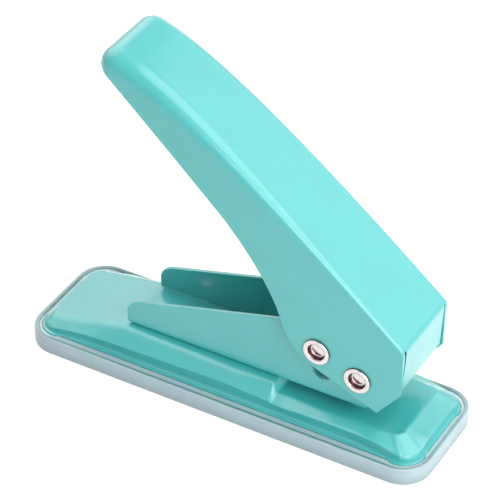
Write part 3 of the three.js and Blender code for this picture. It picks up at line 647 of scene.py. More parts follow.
def lever_low_edge():
    """Lower edge of a side wall, from the nose back to the toe, then up to the slit's top."""

    def at(along, up):
        return (FULCRUM[0] + along * NOSE_REACH, FULCRUM[1] + up * NOSE_RISE)

    heel = (FULCRUM[0] - 12.8, FULCRUM[1] - 1)
    toe = (FULCRUM[0] + 5.7, FULCRUM[1] - 8.6)
    grip = bezier([at(-0.522, 0.531), at(-0.421, 0.418), at(-0.311, 0.248), at(-0.286, 0.117)], 40)
    curve = bezier([at(-0.286, 0.117), at(-0.262, 0.06), at(-0.235, 0.02), heel], 16)
    foot = on_fold(-WALL_LEAN) + direction(-WALL_LEAN - QUARTER) * FLAP_HEIGHT
    rear = [tuple(foot)] + [tuple(on_fold(a)) for a in spaced(-WALL_LEAN, SLIT_ANGLE, 6)]
    return [at(-0.93, 0.953), at(-0.727, 0.746), *grip, *curve[1:], toe, *rear]


def lever_piece():
    sheet = Sheet()
    spine = lever_spine()

    def lowered(place, normal, share):
        """A place by the nose's end, carried on to the cut."""
        gap, away = above_cut(place)
        way = Vector((-normal.y, normal.x))
        return place - way * gap * share / way.dot(away)

    def pair(place, normal, edge, turn, side, share=0):
        lining = max(edge - LEVER_SHEET, LEVER_SHEET / 4)
        out = place - normal * edge * (1 - sin(turn))
        within = place - normal * (LEVER_SHEET + lining * (1 - sin(turn)))
        if share:
            out, within = lowered(out, normal, share), lowered(within, normal, share)
        spread = 1 - cos(turn)
        return (
            (out.x, side * (LEVER_HALF - edge * spread), out.y),
            (within.x, side * (LEVER_HALF - LEVER_SHEET - lining * spread), within.y),
        )

    flap_share = FLAP_HALF / (LEVER_HALF - spine[0][2])
    flat_shares = [-flap_share, -0.6, -0.2, 0.2, 0.6, flap_share]
    turns = spaced(0, QUARTER, 10)
    end_shares = (1 / 3, 2 / 3, 1)
    ends = [spine[-1]] * len(end_shares)

    def edge_row(turn, side):
        return [pair(*s, turn, side) for s in spine] + [
            pair(*spine[-1], turn, side, share) for share in end_shares]

    rows = [edge_row(turn, -1) for turn in turns]
    rows += [[pair(*s, QUARTER, share) for s in spine + ends] for share in flat_shares]
    rows += [edge_row(turn, 1) for turn in reversed(turns)]
    sheet.grid(rows)

    # The flap hangs from the first points of the middle rows
    flap = [(on_fold(angle), direction(angle)) for angle in spaced(SLIT_ANGLE, -FLAP_LEAN, 8)]
    start, down = flap[-1][0], direction(-FLAP_LEAN - QUARTER)
    for reach in spaced(0, FLAP_HEIGHT - FLAP_RISE - RIM, 3)[1:]:
        flap.append((start + down * reach, direction(-FLAP_LEAN)))
    flap_rows = []
    for share in flat_shares:
        row = [pair(*spine[0], QUARTER, share)]
        row += [pair(place, normal, spine[0][2], QUARTER, share) for place, normal in flap[1:]]
        flap_rows.append(row[::-1])
    sheet.grid(flap_rows)

    # Side walls
    low = moved_left(lever_low_edge(), RIM, closed=False)
    holes = [circle(*FULCRUM, TUBE_HOLE + RIM), circle(*DRIVE, TUBE_HOLE + RIM)]
    for side in (-1, 1):
        border = edge_row(0, side)
        linings = {tuple(round(v, 3) for v in (o[0], o[2])): i for o, i in border}
        outline = []
        for (x, _, z), _ in border:
            if not outline or (Vector((x, z)) - Vector(outline[-1])).length > 1e-3:
                outline.append((x, z))
        for corners in filled([outline + low, *holes]):
            pairs = []
            for x, z in corners:
                inner = linings.get((round(x, 3), round(z, 3)), (x, 0, z))
                pairs.append((
                    (x, side * LEVER_HALF, z),
                    (inner[0], side * (LEVER_HALF - LEVER_SHEET), inner[2])))
            if turns_left(corners) != (side < 0):
                pairs.reverse()
            sheet.face(*pairs)
    return shaded(new_object("lever", *sheet.mesh()))


# Channel


def corner_end(height, corner):
    """How far a rounded lower corner stands in at a height above the platform."""
    if height >= corner:
        return 0
    return corner * (1 - sqrt(height / corner)) ** 2


def channel_piece():
    corner, tail_round, boss_radius, slot_gap = 1.4, 4.6, 5.6, 0.35
    flat_half = FRAME_WIDTH / 2 - FRAME_BEND
    bend_length = FRAME_BEND * QUARTER
    bend_steps = 8
    ear_top = PLATFORM_TOP + 8.6
    peak = Vector((PUNCH_X - 4, PLATFORM_TOP + 22.3))
    top_tail = Vector((FRAME_TAIL_X + tail_round, ear_top))
    slope = (peak - top_tail).normalized()

    def unfolded(z):
        return flat_half + bend_length + (z - PLATFORM_TOP - FRAME_BEND)

    def mapped(x, v, depth):
        side = 1 if v >= 0 else -1
        run = abs(v)
        if run <= flat_half:
            return (x, v, PLATFORM_TOP + depth)
        if run <= flat_half + bend_length:
            turn = (run - flat_half) / FRAME_BEND
            radius = FRAME_BEND - depth
            return (
                x, side * (flat_half + radius * sin(turn)),
                PLATFORM_TOP + FRAME_BEND - radius * cos(turn))
        rise = run - flat_half - bend_length
        return (x, side * (FRAME_WIDTH / 2 - depth), PLATFORM_TOP + FRAME_BEND + rise)

    # Unfolded outline of one ear, from the web's throat end round to its tail end
    heights = [FRAME_BEND * (1 - cos(a)) for a in spaced(0, QUARTER, bend_steps)]
    levels = spaced(flat_half, flat_half + bend_length, bend_steps)
    throat = [(FRAME_THROAT_X - corner_end(h, corner), v) for h, v in zip(heights, levels)]
    tail = [(FRAME_TAIL_X + corner_end(h, corner), v) for h, v in zip(heights, levels)]
    side_view = arc(*FULCRUM, boss_radius, -pi / 6, pi / 3, 24)
    side_view += bezier([side_view[-1], (peak.x + 4, peak.y), tuple(peak)], 12)[1:]
    side_view += bezier([
        tuple(top_tail), (FRAME_TAIL_X, ear_top - tail_round * slope.y),
        (FRAME_TAIL_X, ear_top - tail_round)], 14)
    ear = throat + [(x, unfolded(z)) for x, z in side_view] + list(reversed(tail))
    outline = ear + [(x, -v) for x, v in reversed(ear)]
    outline = moved_left(outline if turns_left(outline) else outline[::-1], RIM)

    half = TUBE_RADIUS + slot_gap + RIM
    rest, pressed = pi - DRIVE_REST, pi - DRIVE_REST + SWING
    slot = arc(*FULCRUM, DRIVE_ARM + half, rest, pressed, 24)
    slot += arc(*drive_place(SWING), half, pressed, pressed + pi, 16)[1:-1]
    slot += arc(*FULCRUM, DRIVE_ARM - half, pressed, rest, 24)
    slot += arc(*DRIVE, half, rest - pi, rest, 16)[1:-1]
    ear_holes = [slot, circle(*FULCRUM, TUBE_HOLE + RIM)]
    loops = [outline]
    for hole in ear_holes:
        loops.append([(x, unfolded(z)) for x, z in hole])
        loops.append([(x, -unfolded(z)) for x, z in hole])
    loops.append(circle(PUNCH_X, 0, GUIDE_RADIUS + 0.05 + RIM))
    loops += [circle(x, 0, FRAME_RIVET_HOLE + RIM) for _, x in FRAME_RIVETS]
    lines = []
    inset = RIM + 0.01
    for (low, v), (high, _) in zip(tail, throat):
        lines += [((low + inset, side * v), (high - inset, side * v)) for side in (-1, 1)]
    sheet = Sheet()
    for corners in filled(loops, lines):
        pairs = [(mapped(x, v, 0), mapped(x, v, FRAME_SHEET)) for x, v in corners]
        if turns_left(corners):
            pairs.reverse()
        sheet.face(*pairs)
    return shaded(new_object("channel", *sheet.mesh()))


# Base

THROAT_END_RUN = 6.9
TAIL_END_RUN = 2.9
WALL_RUN = 0.45
CORNER_RADIUS = 6.6
CORNER_POWER = 0.78
STOP_RUN = 2.0
PLATFORM_TAIL_X = FRAME_TAIL_X - 0.65
PAN_TAIL_X = -(FLANGE_END - TAIL_END_RUN)


def eased(x, start, end):
    return smooth((x - start) / (end - start))


def deck_top(x, stop_run=STOP_RUN):
    level = PLATFORM_TOP - (PLATFORM_TOP - THROAT_DECK_TOP) * eased(
        x, STOP_X - stop_run / 2, STOP_X + stop_run / 2)
    share = min((PLATFORM_TAIL_X - x) / (PLATFORM_TAIL_X - PAN_TAIL_X), 1)
    bend = 0.06
    if share < -bend:
        share = 0
    elif share < bend:
        share = (share + bend) ** 2 / (4 * bend)
    return level - (PLATFORM_TOP - FLANGE_TOP - 3) * share


# Sides of the pan: place, wall's share of the deck's height, runs of shoulder and deck's edge
SIDE_SHARES = [
    (-0.94, 0.3, 0.17, 0.34),
    (-0.82, 0.5, 0.17, 0.345),
    (-0.7, 0.52, 0.17, 0.35),
    (-0.55, 0.48, 0.16, 0.355),
    (-0.33, 0.53, 0.16, 0.345),
    (-0.14, 0.57, 0.165, 0.34),
    (0.04, 0.6, 0.165, 0.33),
    (0.17, 0.53, 0.13, 0.325),
    (0.3, 0.6, 0.08, 0.29),
    (0.45, 0.73, 0.065, 0.25),
    (0.63, 0.76, 0.065, 0.27),
    (0.78, 0.72, 0.065, 0.3),
    (0.88, 0.46, 0.075, 0.33),
    (0.94, 0.28, 0.08, 0.33),
]
END_WALL_SHARE = 0.61


def side_shares(x):
    """The sides' three shares at a place along the base, on a smooth curve."""
    place = min(max(x / FLANGE_END, SIDE_SHARES[0][0]), SIDE_SHARES[-1][0])
    last = len(SIDE_SHARES) - 1
    k = max(i for i in range(last) if SIDE_SHARES[i][0] <= place)
    p1, p2 = SIDE_SHARES[k], SIDE_SHARES[k + 1]
    p0, p3 = SIDE_SHARES[max(k - 1, 0)], SIDE_SHARES[min(k + 2, last)]
    span = p2[0] - p1[0]
    t = (place - p1[0]) / span
    found = []
    for n in (1, 2, 3):
        m1 = (p2[n] - p0[n]) / (p2[0] - p0[0]) * span
        m2 = (p3[n] - p1[n]) / (p3[0] - p1[0]) * span
        found.append(
            (2 * t ** 3 - 3 * t ** 2 + 1) * p1[n] + (t ** 3 - 2 * t ** 2 + t) * m1
            + (3 * t ** 2 - 2 * t ** 3) * p2[n] + (t ** 3 - t ** 2) * m2)
    return found


def side_runs(x):
    _, shoulder, deck = (share * FLANGE_SIDE for share in side_shares(x))
    return deck - WALL_RUN - shoulder, shoulder


def wall_share(x, y):
    """The wall is lowest at the corners and rises towards the middle of each end."""
    side = side_shares(x)[0]
    return side + (END_WALL_SHARE - side) * eased(
        FLANGE_SIDE - abs(y), 0.3 * CORNER_RADIUS, 1.6 * CORNER_RADIUS)


# Skin of the pan from the flange's edge up to the deck, as shares of: wall's run and height,
# flank, shoulder's run and height, throat end's run, tail end's run, corner's radius
SECTION_SHARES = [
    (1.6, 0.01, 0, 0, 0, 0.08, 0.2, 0.9),
    (2.5, 0.08, 0, 0, 0, 0.1, 0.24, 0.88),
    (2.9, 0.25, 0, 0, 0, 0.11, 0.27, 0.86),
    (2.6, 0.5, 0, 0, 0, 0.1, 0.25, 0.87),
    (1.8, 0.8, 0, 0, 0, 0.08, 0.2, 0.9),
    (1.1, 0.96, 0, 0, 0, 0.07, 0.16, 0.93),
    (1, 1, 0.08, 0, 0, 0.12, 0.18, 0.91),
    (1, 1, 0.5, 0, 0, 0.42, 0.38, 0.76),
    (1, 1, 1, 0, 0, 0.77, 0.575, 0.6),
    (1, 1, 1, 0.33, 0.55, 0.846, 0.715, 0.54),
    (1, 1, 1, 0.67, 0.89, 0.924, 0.86, 0.48),
    (1, 1, 1, 1, 1, 1, 1, 0.43),
]


# The lowest levels at the corners, where the wall has no recess
CORNER_SHARES = [
    (0.1, 0.1, 0, 0, 0, 0.01, 0.02, 0.99),
    (0.2, 0.25, 0, 0, 0, 0.02, 0.045, 0.98),
    (0.33, 0.42, 0, 0, 0, 0.032, 0.07, 0.97),
    (0.48, 0.58, 0, 0, 0, 0.045, 0.095, 0.957),
    (0.65, 0.74, 0, 0, 0, 0.06, 0.12, 0.945),
    (0.82, 0.88, 0, 0, 0, 0.078, 0.15, 0.93),
]


def finer(rows, steps=3):
    """Rows of numbers with smooth steps put between them."""
    made = []
    for i in range(len(rows) - 1):
        a, b = rows[i], rows[i + 1]
        before = rows[i - 1] if i else tuple(2 * p - q for p, q in zip(a, b))
        after = rows[i + 2] if i + 2 < len(rows) else tuple(2 * q - p for p, q in zip(a, b))
        for k in range(steps):
            t = k / steps
            made.append(tuple(
                0.5 * (2 * p1 + (p2 - p0) * t + (2 * p0 - 5 * p1 + 4 * p2 - p3) * t * t
                       + (3 * p1 - p0 - 3 * p2 + p3) * t ** 3)
                for p0, p1, p2, p3 in zip(before, a, b, after)))
    made.append(rows[-1])
    return made


def lobe_outline(grow=0):
    """Quarter outline of the flange with its corner lobe, from the side to the end."""
    side, end = FLANGE_SIDE - 0.2 + grow, FLANGE_END - 0.2 + grow
    bend = LOBE_RADIUS / 2
    cx, cy = LOBE_CENTRE
    radius = LOBE_RADIUS + grow
    points = [(0, side)]
    points += bezier([
        (cx - bend, side), (cx - bend / 2, side), (cx - bend / 2, cy + radius),
        (cx, cy + radius)], 20)
    points += arc(cx, cy, radius, QUARTER, 0, 40)[1:]
    points += bezier([
        (cx + radius, cy), (cx + radius, cy - bend / 3), (end, cy - bend / 3),
        (end, cy - bend / 2)], 20)[1:]
    points.append((end, 0))
    return points


def hit(origin, way, path):
    """Furthest distance at which a ray from origin meets a path, or 0."""
    best = 0
    for (ax, ay), (bx, by) in zip(path, path[1:]):
        ex, ey = bx - ax, by - ay
        det = way.x * ey - way.y * ex
        if abs(det) < 1e-9:
            continue
        dx, dy = ax - origin.x, ay - origin.y
        reach = (dx * ey - dy * ex) / det
        share = (dx * way.y - dy * way.x) / det
        if reach > 0 and -1e-6 <= share <= 1 + 1e-6:
            best = max(best, reach)
    return best


def base_piece():
    steps = 32

    def stations(tail_centre, throat_centre):
        """Places along the side, closer together at the deck's bends."""
        ends = [
            tail_centre, PLATFORM_TAIL_X - 2, PLATFORM_TAIL_X + 2, STOP_X - 5, STOP_X - 1,
            STOP_X + 1, STOP_X + 6, throat_centre]
        made = []
        for low, high, count in zip(ends, ends[1:], (18, 8, 24, 10, 14, 12, 30)):
            made += spaced(low, high, count)[:-1]
        return made + [throat_centre]

    end_steps = 6

    def bump(i, count):
        """1 in the middle of each corner's arc, 0 along the sides and ends."""
        i %= count // 2
        quarter = min(i, count // 2 - 1 - i)
        turn = QUARTER * (steps + end_steps - quarter) / steps
        return smooth(1.6 * sin(2 * turn)) if 0 < turn < QUARTER else 0

    def ring(shares, plain=None):
        """Plan of one level. Its corners change over to those of the plain shares."""
        if plain:
            usual, even = ring(shares), ring(plain)
            return [
                tuple(p + (q - p) * bump(i, len(usual)) for p, q in zip(a, b))
                for i, (a, b) in enumerate(zip(usual, even))]
        wall, _, flank, shoulder, _, throat_end, tail_end, corner = shares
        radius = CORNER_RADIUS * corner
        tail_centre = -(FLANGE_END - TAIL_END_RUN * tail_end - radius)
        throat_centre = FLANGE_END - THROAT_END_RUN * throat_end - radius

        def side_at(x):
            runs = side_runs(x)
            recess = max(wall - 1, 0) * (1 - 0.85 * eased(abs(x), 38, 51))
            return (
                FLANGE_SIDE - WALL_RUN * (min(wall, 1) + recess)
                - runs[0] * flank - runs[1] * shoulder)

        def corner_arc(centre, reach):
            turns = spaced(0, QUARTER, steps)[1:]
            side = side_at(centre)
            rounded = [(
                centre + reach * max(sin(a), 0) ** CORNER_POWER,
                side - radius * (1 - max(cos(a), 0) ** CORNER_POWER)) for a in turns]
            x, y = rounded[-1]
            return rounded + [(x, y * (1 - i / (end_steps + 0.5))) for i in range(1, end_steps + 1)]

        far = corner_arc(tail_centre, -radius)[::-1]
        far += [(x, side_at(x)) for x in stations(tail_centre, throat_centre)]
        far += corner_arc(throat_centre, radius)
        return far + [(x, -y) for x, y in far[::-1]]

    foot = ring((0, 0, 0, 0, 0, 0, 0, 1))
    levels = finer(SECTION_SHARES, 4)
    plain_levels = finer(CORNER_SHARES + SECTION_SHARES[len(CORNER_SHARES):], 4)
    plans = [ring(*pair) for pair in zip(levels, plain_levels)]
    heights = [deck_top(x) for x, _ in plans[-1]]
    gentle = [deck_top(x, 6 * STOP_RUN) for x, _ in plans[-1]]
    count = len(foot)

    def height(shares, i, up):
        """Height of a level. The paper stop's step fades out down the flank."""
        rise = gentle[i] + (heights[i] - gentle[i]) * smooth(up) ** 2 - FLANGE_TOP
        x, y = foot[i]
        flank, shoulder = side_runs(x)
        wall = rise * wall_share(x, y)
        slope = (rise - wall) / (flank + shoulder / 2)
        return (
            FLANGE_TOP + wall * shares[1] + slope * flank * shares[2]
            + slope * shoulder / 2 * shares[4])

    def place(k, i):
        x, y = plans[k][i]
        even = bump(i, count)
        f = k / (len(plans) - 1)
        low = height(levels[k], i, f)
        belly = 0.35 * (heights[i] - FLANGE_TOP) * f * (1 - f) * even
        return Vector((x, y, low + (height(plain_levels[k], i, f) - low) * even + belly))

    outer = [[place(k, i) for i in range(count)] for k in range(len(plans))]
    inner = [[None] * count for _ in plans]
    last, spread = len(plans) - 1, 5
    for i in range(count):
        inward = (Vector(plans[-1][i]) - Vector(foot[i])).normalized()
        for k in range(len(plans)):
            gap = outer[min(k + spread, last)][i] - outer[max(k - spread, 0)][i]
            run, rise = gap.x * inward.x + gap.y * inward.y, gap.z
            size = hypot(run, rise)
            shift = 0 if k == last else BASE_SHEET * rise / size
            drop = BASE_SHEET if k in (0, last) else BASE_SHEET * run / size
            x, y, z = outer[k][i]
            inner[k][i] = Vector((
                x + shift * inward.x, y + shift * inward.y, min(z - drop, heights[i] - BASE_SHEET)))

    # The flange's edge, which bulges into a lobe at each corner
    outline = lobe_outline()
    corner_x, corner_y = FLANGE_END - 12, FLANGE_SIDE - 12
    edge = []
    for x, y in foot:
        across, along = abs(y), abs(x)
        if along <= corner_x:
            edge.append((x, y))
            continue
        way = Vector((along - corner_x, across - corner_y))
        reach = way.length
        found = max(hit(Vector((corner_x, corner_y)), way.normalized(), outline), reach)
        share = found / reach
        edge.append((
            copysign(corner_x + way.x * share, x),
            copysign(corner_y + way.y * share, y)))
    edge = moved_left(edge[::-1], RIM)[::-1]
    sheet = Sheet()
    down = Vector((0, 0, BASE_SHEET))
    rows = [[(Vector((x, y, FLANGE_TOP)), Vector((x, y, FLANGE_TOP)) - down) for x, y in edge]]
    rows += [list(zip(outer[k], inner[k])) for k in range(len(plans))]
    for row in rows:
        row.append(row[0])
    sheet.grid([row[::-1] for row in rows])

    # The deck between its far and near edges, with the points of each straight end in one face
    half = count // 2
    top = rows[-1][:-1]
    far, near = top[:half], top[half:][::-1]
    low, high = end_steps, half - 1 - end_steps
    sheet.face(far[low + 1], *reversed(far[:low + 1]), *near[:low + 2])
    for i in range(low + 1, high - 1):
        sheet.face(far[i + 1], far[i], near[i], near[i + 1])
    sheet.face(*reversed(far[high - 1:]), *near[high - 1:])
    made = new_object("base", *sheet.mesh())
    bores = [(PUNCH_X, DIE_RADIUS + 0.05)] + [(x, FRAME_RIVET_HOLE) for _, x in FRAME_RIVETS]
    holes = [
        lathed("hole", [(0, 0), (radius, 0), (radius, 20), (0, 20)], 64, centre=(x, 0, 0))
        for x, radius in bores]
    boolean(made, "DIFFERENCE", *holes)
    return shaded(made)


# Round pieces


def rivet_piece(name, place):
    seat, face, bore, flange = LEVER_HALF, LEVER_HALF + RIVET_RISE, TUBE_BORE, 3.75
    floor = face - CUP_DEPTH
    half = [(TUBE_RADIUS, seat)]
    half += bezier([(flange - 0.2, seat), (flange, seat), (flange, seat + 0.12)], 5)
    half += bezier([(flange, face - 0.3), (flange, face - 0.06), (3.4, face)], 8)
    half += bezier([(3.4, face), (2.6, face + 0.02), (2.4, face - 0.3)], 10)[1:]
    half += bezier([(2.3, face - 0.5), (bore, face - 0.8), (bore, floor + 0.35)], 5)
    half += bezier([(bore, floor + 0.35), (bore, floor), (bore - 0.35, floor)], 5)[1:]
    half += [(0.8, floor + 0.03), (0, floor + 0.05)]
    profile = [(r, -y) for r, y in reversed(half)] + half
    made = lathed(name, profile, 96, "Y", (place[0], 0, place[1]))
    return shaded(made, 60)


def spacer_piece(name, side):
    start, length, radius = FRAME_WIDTH / 2 + 0.05, 2.05, 4.2
    low, high = sorted((side * start, side * (start + length)))
    corners = [(TUBE_HOLE, low), (radius, low), (radius, high), (TUBE_HOLE, high)]
    profile = rounded_profile(corners, 0.25)
    return shaded(lathed(name, profile, 72, "Y", (FULCRUM[0], 0, FULCRUM[1])), 60)


PUNCH_RADIUS = 3.0
PIN_TIP = PLATFORM_TOP + 0.6
PIN_SEAT = DRIVE[1] - (TUBE_RADIUS + 0.15) - 0.75
PIN_TOP = DRIVE[1] + 4.2


def pin_piece():
    head = 5.25
    profile = [(0, PIN_TIP), (PUNCH_RADIUS, PIN_TIP), (PUNCH_RADIUS, PIN_SEAT - 0.3)]
    profile += bezier([
        profile[-1], (PUNCH_RADIUS, PIN_SEAT), (PUNCH_RADIUS + 0.3, PIN_SEAT)], 4)[1:]
    profile += bezier([(head - 0.2, PIN_SEAT), (head, PIN_SEAT), (head, PIN_SEAT + 0.2)], 4)
    profile += bezier([(head, PIN_TOP - 0.6), (head, PIN_TOP), (head - 0.6, PIN_TOP)], 6)
    profile.append((0, PIN_TOP))
    made = lathed("punch", profile, 96, centre=(PUNCH_X, 0, 0))
    notch = [
        (PUNCH_X - 6, PIN_TIP - 1.3), (PUNCH_X + 6, PIN_TIP - 1.3), (PUNCH_X, PIN_TIP + 1.3)]
    high = TUBE_RADIUS + 0.15
    sweep = DRIVE_ARM * (1 - cos(DRIVE_REST)) / 2 + 0.15
    slot = arc(PUNCH_X + sweep, DRIVE[1], high, -QUARTER, QUARTER, 24)
    slot += arc(PUNCH_X - sweep, DRIVE[1], high, QUARTER, 3 * QUARTER, 24)
    boolean(made, "DIFFERENCE", *(prism("cut", shape, -8, 8, "Y") for shape in (notch, slot)))
    return shaded(made, 35)


def ring_piece(name, corners, rounding):
    profile = rounded_profile(corners, rounding)
    return shaded(lathed(name, profile, 96, centre=(PUNCH_X, 0, 0)), 60)


def frame_rivet_piece(name, x):
    under, shank, tail, head, rise = PLATFORM_TOP - BASE_SHEET, 1.5, 2.3, 2.75, 1.2
    profile = [(0, under - 0.8)]
    profile += bezier([(2.0, under - 0.8), (tail, under - 0.8), (tail, under - 0.4)], 4)
    profile += [(tail, under), (shank, under), (shank, WEB_TOP), (head, WEB_TOP)]
    turns = spaced(0, QUARTER, 14)[1:-1]
    profile += [(head * cos(a), WEB_TOP + rise * sin(a)) for a in turns]
    profile.append((0, WEB_TOP + rise))
    return shaded(lathed(name, profile, 72, centre=(x, 0, 0)), 50)


def spring_piece():
    wire, turns, per_turn, sides = 0.35, 3.5, 40, 14
    coil = GUIDE_RADIUS + 0.25 + wire
    low, high = WEB_TOP + 0.05 + wire, PIN_SEAT - 0.05 - wire
    count = int(turns * per_turn)
    verts = []
    pitch = (high - low) / (2 * pi * turns)
    for i in range(count + 1):
        turn = 2 * pi * i / per_turn
        out = Vector((cos(turn), sin(turn), 0))
        along = Vector((-sin(turn) * coil, cos(turn) * coil, pitch)).normalized()
        lift = along.cross(out)
        centre = Vector((PUNCH_X, 0, low + (high - low) * i / count)) + out * coil
        verts += [
            centre + (out * x + lift * y) * wire for x, y in circle(0, 0, 1, sides)]
    return shaded(stacked("spring", verts, sides), 50)


# Chip tray

QUADRANTS = ((1, 1), (-1, 1), (-1, -1), (1, -1))
CORNER_STEPS = 20


def tray_loop(inset, ledge, height, end=0):
    """Rounded rectangle inside the tray's outer face, drawn in further for the ledge."""
    centre_x, centre_y = TRAY_CENTRE
    half_x = TRAY_LENGTH / 2 - inset - ledge * TRAY_END_LEDGE - end
    half_y = TRAY_WIDTH / 2 - inset - ledge * TRAY_SIDE_LEDGE
    loop = []
    for corner, (sign_x, sign_y) in enumerate(QUADRANTS):
        for i in range(CORNER_STEPS + 1):
            turn = QUARTER * (corner + i / CORNER_STEPS)
            loop.append((
                sign_x * centre_x + (half_x - centre_x) * cos(turn),
                sign_y * centre_y + (half_y - centre_y) * sin(turn), height))
    return loop


def tray_piece():
    wall, top = TRAY_WALL, TRAY_HEIGHT
    ledge_top, ledge_under, floor = top - 0.45, top - 1.45, 1.2
    section = [(0.4, 0, 0)]
    section += bezier([(0.35, 0, 0), (0, 0, 0), (0, 0, 0.35)], 4)
    section += bezier([(0, 0, top - 0.5), (0, 0, top), (0.5, 0, top)], 8)
    section += bezier([(wall - 0.25, 0, top), (wall, 0, top), (wall, 0, top - 0.25)], 4)
    section += [(wall, 0, ledge_top + 0.08), (wall + 0.08, 0, ledge_top)]
    section += [(wall, 0.9, ledge_top), (wall, 1, ledge_top - 0.12)]
    section += [
        (wall, 1, ledge_top - 0.25, END_LIP), (wall, 1, ledge_top - 0.4, END_LIP),
        (wall, 1, ledge_top - 0.7, 0), (wall, 1, ledge_under)]
    section += [(wall, 0, ledge_under), (wall, 0, floor)]
    verts = [place for row in section for place in tray_loop(*row)]
    made = stacked("tray", verts, len(verts) // len(section))

    # A shelf in each corner holds the base, and the ledge is cut away round its lobes
    reach = 1.5 * LOBE_RADIUS
    low_x, low_y = LOBE_CENTRE.x + LOBE_RADIUS - reach, LOBE_CENTRE.y + LOBE_RADIUS - reach
    quarter = [(x, y) for x, y in lobe_outline(LOBE_POCKET) if x > low_x and y > low_y]
    shelf, hollow = (
        [(x, y) for x, y, _ in tray_loop(inset, 0, 0)[:CORNER_STEPS + 1]]
        for inset in (wall - 0.4, wall + 3.6))
    shelf = [(shelf[0][0], low_y), *shelf, (low_x, shelf[-1][1])]
    shelf += [(low_x, hollow[-1][1]), *reversed(hollow), (hollow[0][0], low_y)]
    pocket = [(low_x, low_y), (low_x, quarter[0][1]), *quarter, (quarter[-1][0], low_y)]
    for operation, shape, low, high in (
            ("UNION", shelf, SHELF_TOP - 1.2, SHELF_TOP),
            ("DIFFERENCE", pocket, SHELF_TOP, top + 1)):
        boolean(made, operation, *(
            prism("corner", [(sign_x * x, sign_y * y) for x, y in shape], low, high)
            for sign_x, sign_y in QUADRANTS))
    return shaded(made, 50)


# Build the pieces on their bodies
finish_piece(lever_piece(), "lever", "mint_paint", "lever_handle")
finish_piece(channel_piece(), "base", "mint_paint", "channel_frame")
finish_piece(base_piece(), "base", "mint_paint", "base_plate")
for part, place in (("fulcrum", FULCRUM), ("drive", DRIVE)):
    finish_piece(rivet_piece("rivet_" + part, place), "lever", "nickel_plate", part + "_rivet")
for part, side in (("near", -1), ("far", 1)):
    finish_piece(
        spacer_piece("spacer_" + part, side), "base", "white_nylon", "fulcrum_spacer_" + part)
finish_piece(pin_piece(), "punch", "plain_steel", "punch_pin")
guide_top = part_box("punch_guide")[1].z / MM
guide = ring_piece("guide", [
    (PIN_BORE, PLATFORM_TOP), (GUIDE_RADIUS, PLATFORM_TOP), (GUIDE_RADIUS, guide_top),
    (PIN_BORE, guide_top)], 0.2)
finish_piece(guide, "base", "plain_steel", "punch_guide")
die_under, die_top = THROAT_DECK_TOP - BASE_SHEET, THROAT_DECK_TOP - 0.05
die = ring_piece("die", [
    (PIN_BORE, die_under - 1.2), (DIE_FLANGE, die_under - 1.2), (DIE_FLANGE, die_under),
    (DIE_RADIUS, die_under), (DIE_RADIUS, die_top), (PIN_BORE, die_top)], 0.12)
finish_piece(die, "base", "plain_steel", "punch_die")
for part, x in FRAME_RIVETS:
    finish_piece(
        frame_rivet_piece("rivet_" + part, x), "base", "plain_steel", "frame_rivet_" + part)
spring = finish_piece(spring_piece(), "base", "plain_steel", "return_spring")
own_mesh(spring)
finish_piece(tray_piece(), "tray", "clear_plastic", "chip_tray")


# Floor, lamps and camera

FLOOR_HALF = 3.0
FLOOR_TONE = 0.8
FLOOR_SEEN = 0.45
FLOOR_FAR = (300, 700)
WORLD_LIGHT = 0.02
WORLD_SEEN = 1.0
# Name, azimuth, elevation, width, height, power
LAMPS = [
    ("left_box", 245, 50, 0.9, 0.9, 2.9),
    ("side_box", 270, 50, 0.9, 0.9, 1.8),
    ("right_box", 90, 50, 0.9, 0.9, 6.3),
    ("low_box", 45, 18, 0.6, 0.6, 4.3),
    ("rear_box", 205, 20, 0.6, 0.6, 0.3),
    ("back_box", 142, 30, 0.8, 0.6, 1.4),
]
LAMP_DISTANCE = 0.8
LAMP_TARGET = Vector((0, 0, 0.03))
CAMERA_AZIMUTH = 29.90
CAMERA_ELEVATION = 37.38
CAMERA_DISTANCE = 655.88
CAMERA_TARGET = Vector((0, 0, 30.4))
CAMERA_SHIFT = (0.674, 10.006)
SENSOR = 36
FOCAL_SHARE = 2508.7 / 500


def seen_share(tree):
    """1 for the rays that show the background: camera, glossy and transmission rays."""
    rays = added(tree, "LightPath", {}).outputs
    seen = computed(tree, "MAXIMUM", rays["Is Camera Ray"], rays["Is Glossy Ray"])
    return computed(tree, "MAXIMUM", seen, rays["Is Transmission Ray"])


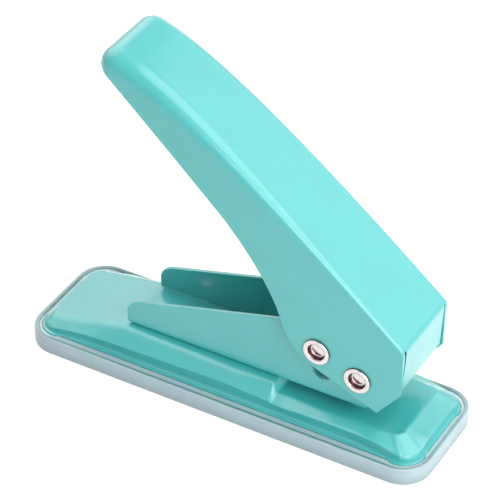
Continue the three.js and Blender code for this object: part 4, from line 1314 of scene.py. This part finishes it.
def stage_floor():
    """A pale floor, in metres. Far from the object the camera sees it as white as the surround."""
    mesh = bpy.data.meshes.new("floor")
    corners = [(FLOOR_HALF * x, FLOOR_HALF * y, 0) for x, y in ((-1, -1), (1, -1), (1, 1), (-1, 1))]
    mesh.from_pydata(corners, [], [(0, 1, 2, 3)])
    made = bpy.data.objects.new("floor", mesh)
    bpy.context.scene.collection.objects.link(made)
    look = bpy.data.materials.new("floor")
    look.use_nodes = True
    tree = look.node_tree
    tree.nodes.clear()
    reach = added(tree, "VectorMath", {0: coordinates(tree)}, operation="LENGTH")
    far = graded(tree, reach.outputs["Value"], 0, 1 - FLOOR_SEEN, *FLOOR_FAR)
    camera_ray = added(tree, "LightPath", {}).outputs["Is Camera Ray"]
    seen = summed(
        tree, multiplied(tree, seen_share(tree), FLOOR_SEEN), multiplied(tree, camera_ray, far))
    diffuse = added(tree, "BsdfDiffuse", {"Color": (FLOOR_TONE, FLOOR_TONE, FLOOR_TONE, 1)})
    glow = added(tree, "Emission", {"Strength": seen})
    total = added(tree, "AddShader", {0: diffuse.outputs["BSDF"], 1: glow.outputs["Emission"]})
    added(tree, "OutputMaterial", {"Surface": total.outputs["Shader"]})
    mesh.materials.append(look)


def studio_world():
    """A white surround that lights the object less than it shows."""
    world = bpy.data.worlds.new("studio")
    bpy.context.scene.world = world
    world.use_nodes = True
    tree = world.node_tree
    background = tree.nodes["Background"]
    background.inputs["Color"].default_value = (1, 1, 1, 1)
    strength = ranged(tree, seen_share(tree), WORLD_LIGHT, WORLD_SEEN, 0, 1)
    tree.links.new(strength, background.inputs["Strength"])


def outward(azimuth, elevation):
    """Direction from the object. Azimuth 0 points to the front, 90 to the right."""
    a, e = radians(azimuth), radians(elevation)
    return Vector((sin(a) * cos(e), -cos(a) * cos(e), sin(e)))


def aimed(name, data, place, away):
    """An object in the scene that looks back along a direction."""
    made = bpy.data.objects.new(name, data)
    bpy.context.scene.collection.objects.link(made)
    made.location = place
    made.rotation_mode = "QUATERNION"
    made.rotation_quaternion = away.to_track_quat("Z", "Y")
    return made


def softbox(name, azimuth, elevation, width, height, power):
    lamp = bpy.data.lights.new(name, "AREA")
    lamp.shape = "RECTANGLE"
    lamp.size, lamp.size_y, lamp.energy = width, height, power
    away = outward(azimuth, elevation)
    aimed(name, lamp, LAMP_TARGET + away * LAMP_DISTANCE, away)


def photo_camera():
    azimuth = radians(CAMERA_AZIMUTH)
    right = Vector((cos(azimuth), sin(azimuth), 0))
    back = outward(CAMERA_AZIMUTH, CAMERA_ELEVATION)
    shift = right * CAMERA_SHIFT[0] + back.cross(right) * CAMERA_SHIFT[1]
    data = bpy.data.cameras.new("camera")
    data.sensor_width = SENSOR
    data.lens = FOCAL_SHARE * SENSOR
    data.clip_start, data.clip_end = 0.01, 20
    place = (CAMERA_TARGET + shift + back * CAMERA_DISTANCE) * MM
    bpy.context.scene.camera = aimed("camera", data, place, back)


stage_floor()
studio_world()
for lamp in LAMPS:
    softbox(*lamp)
photo_camera()
bpy.context.scene.view_settings.view_transform = "Standard"
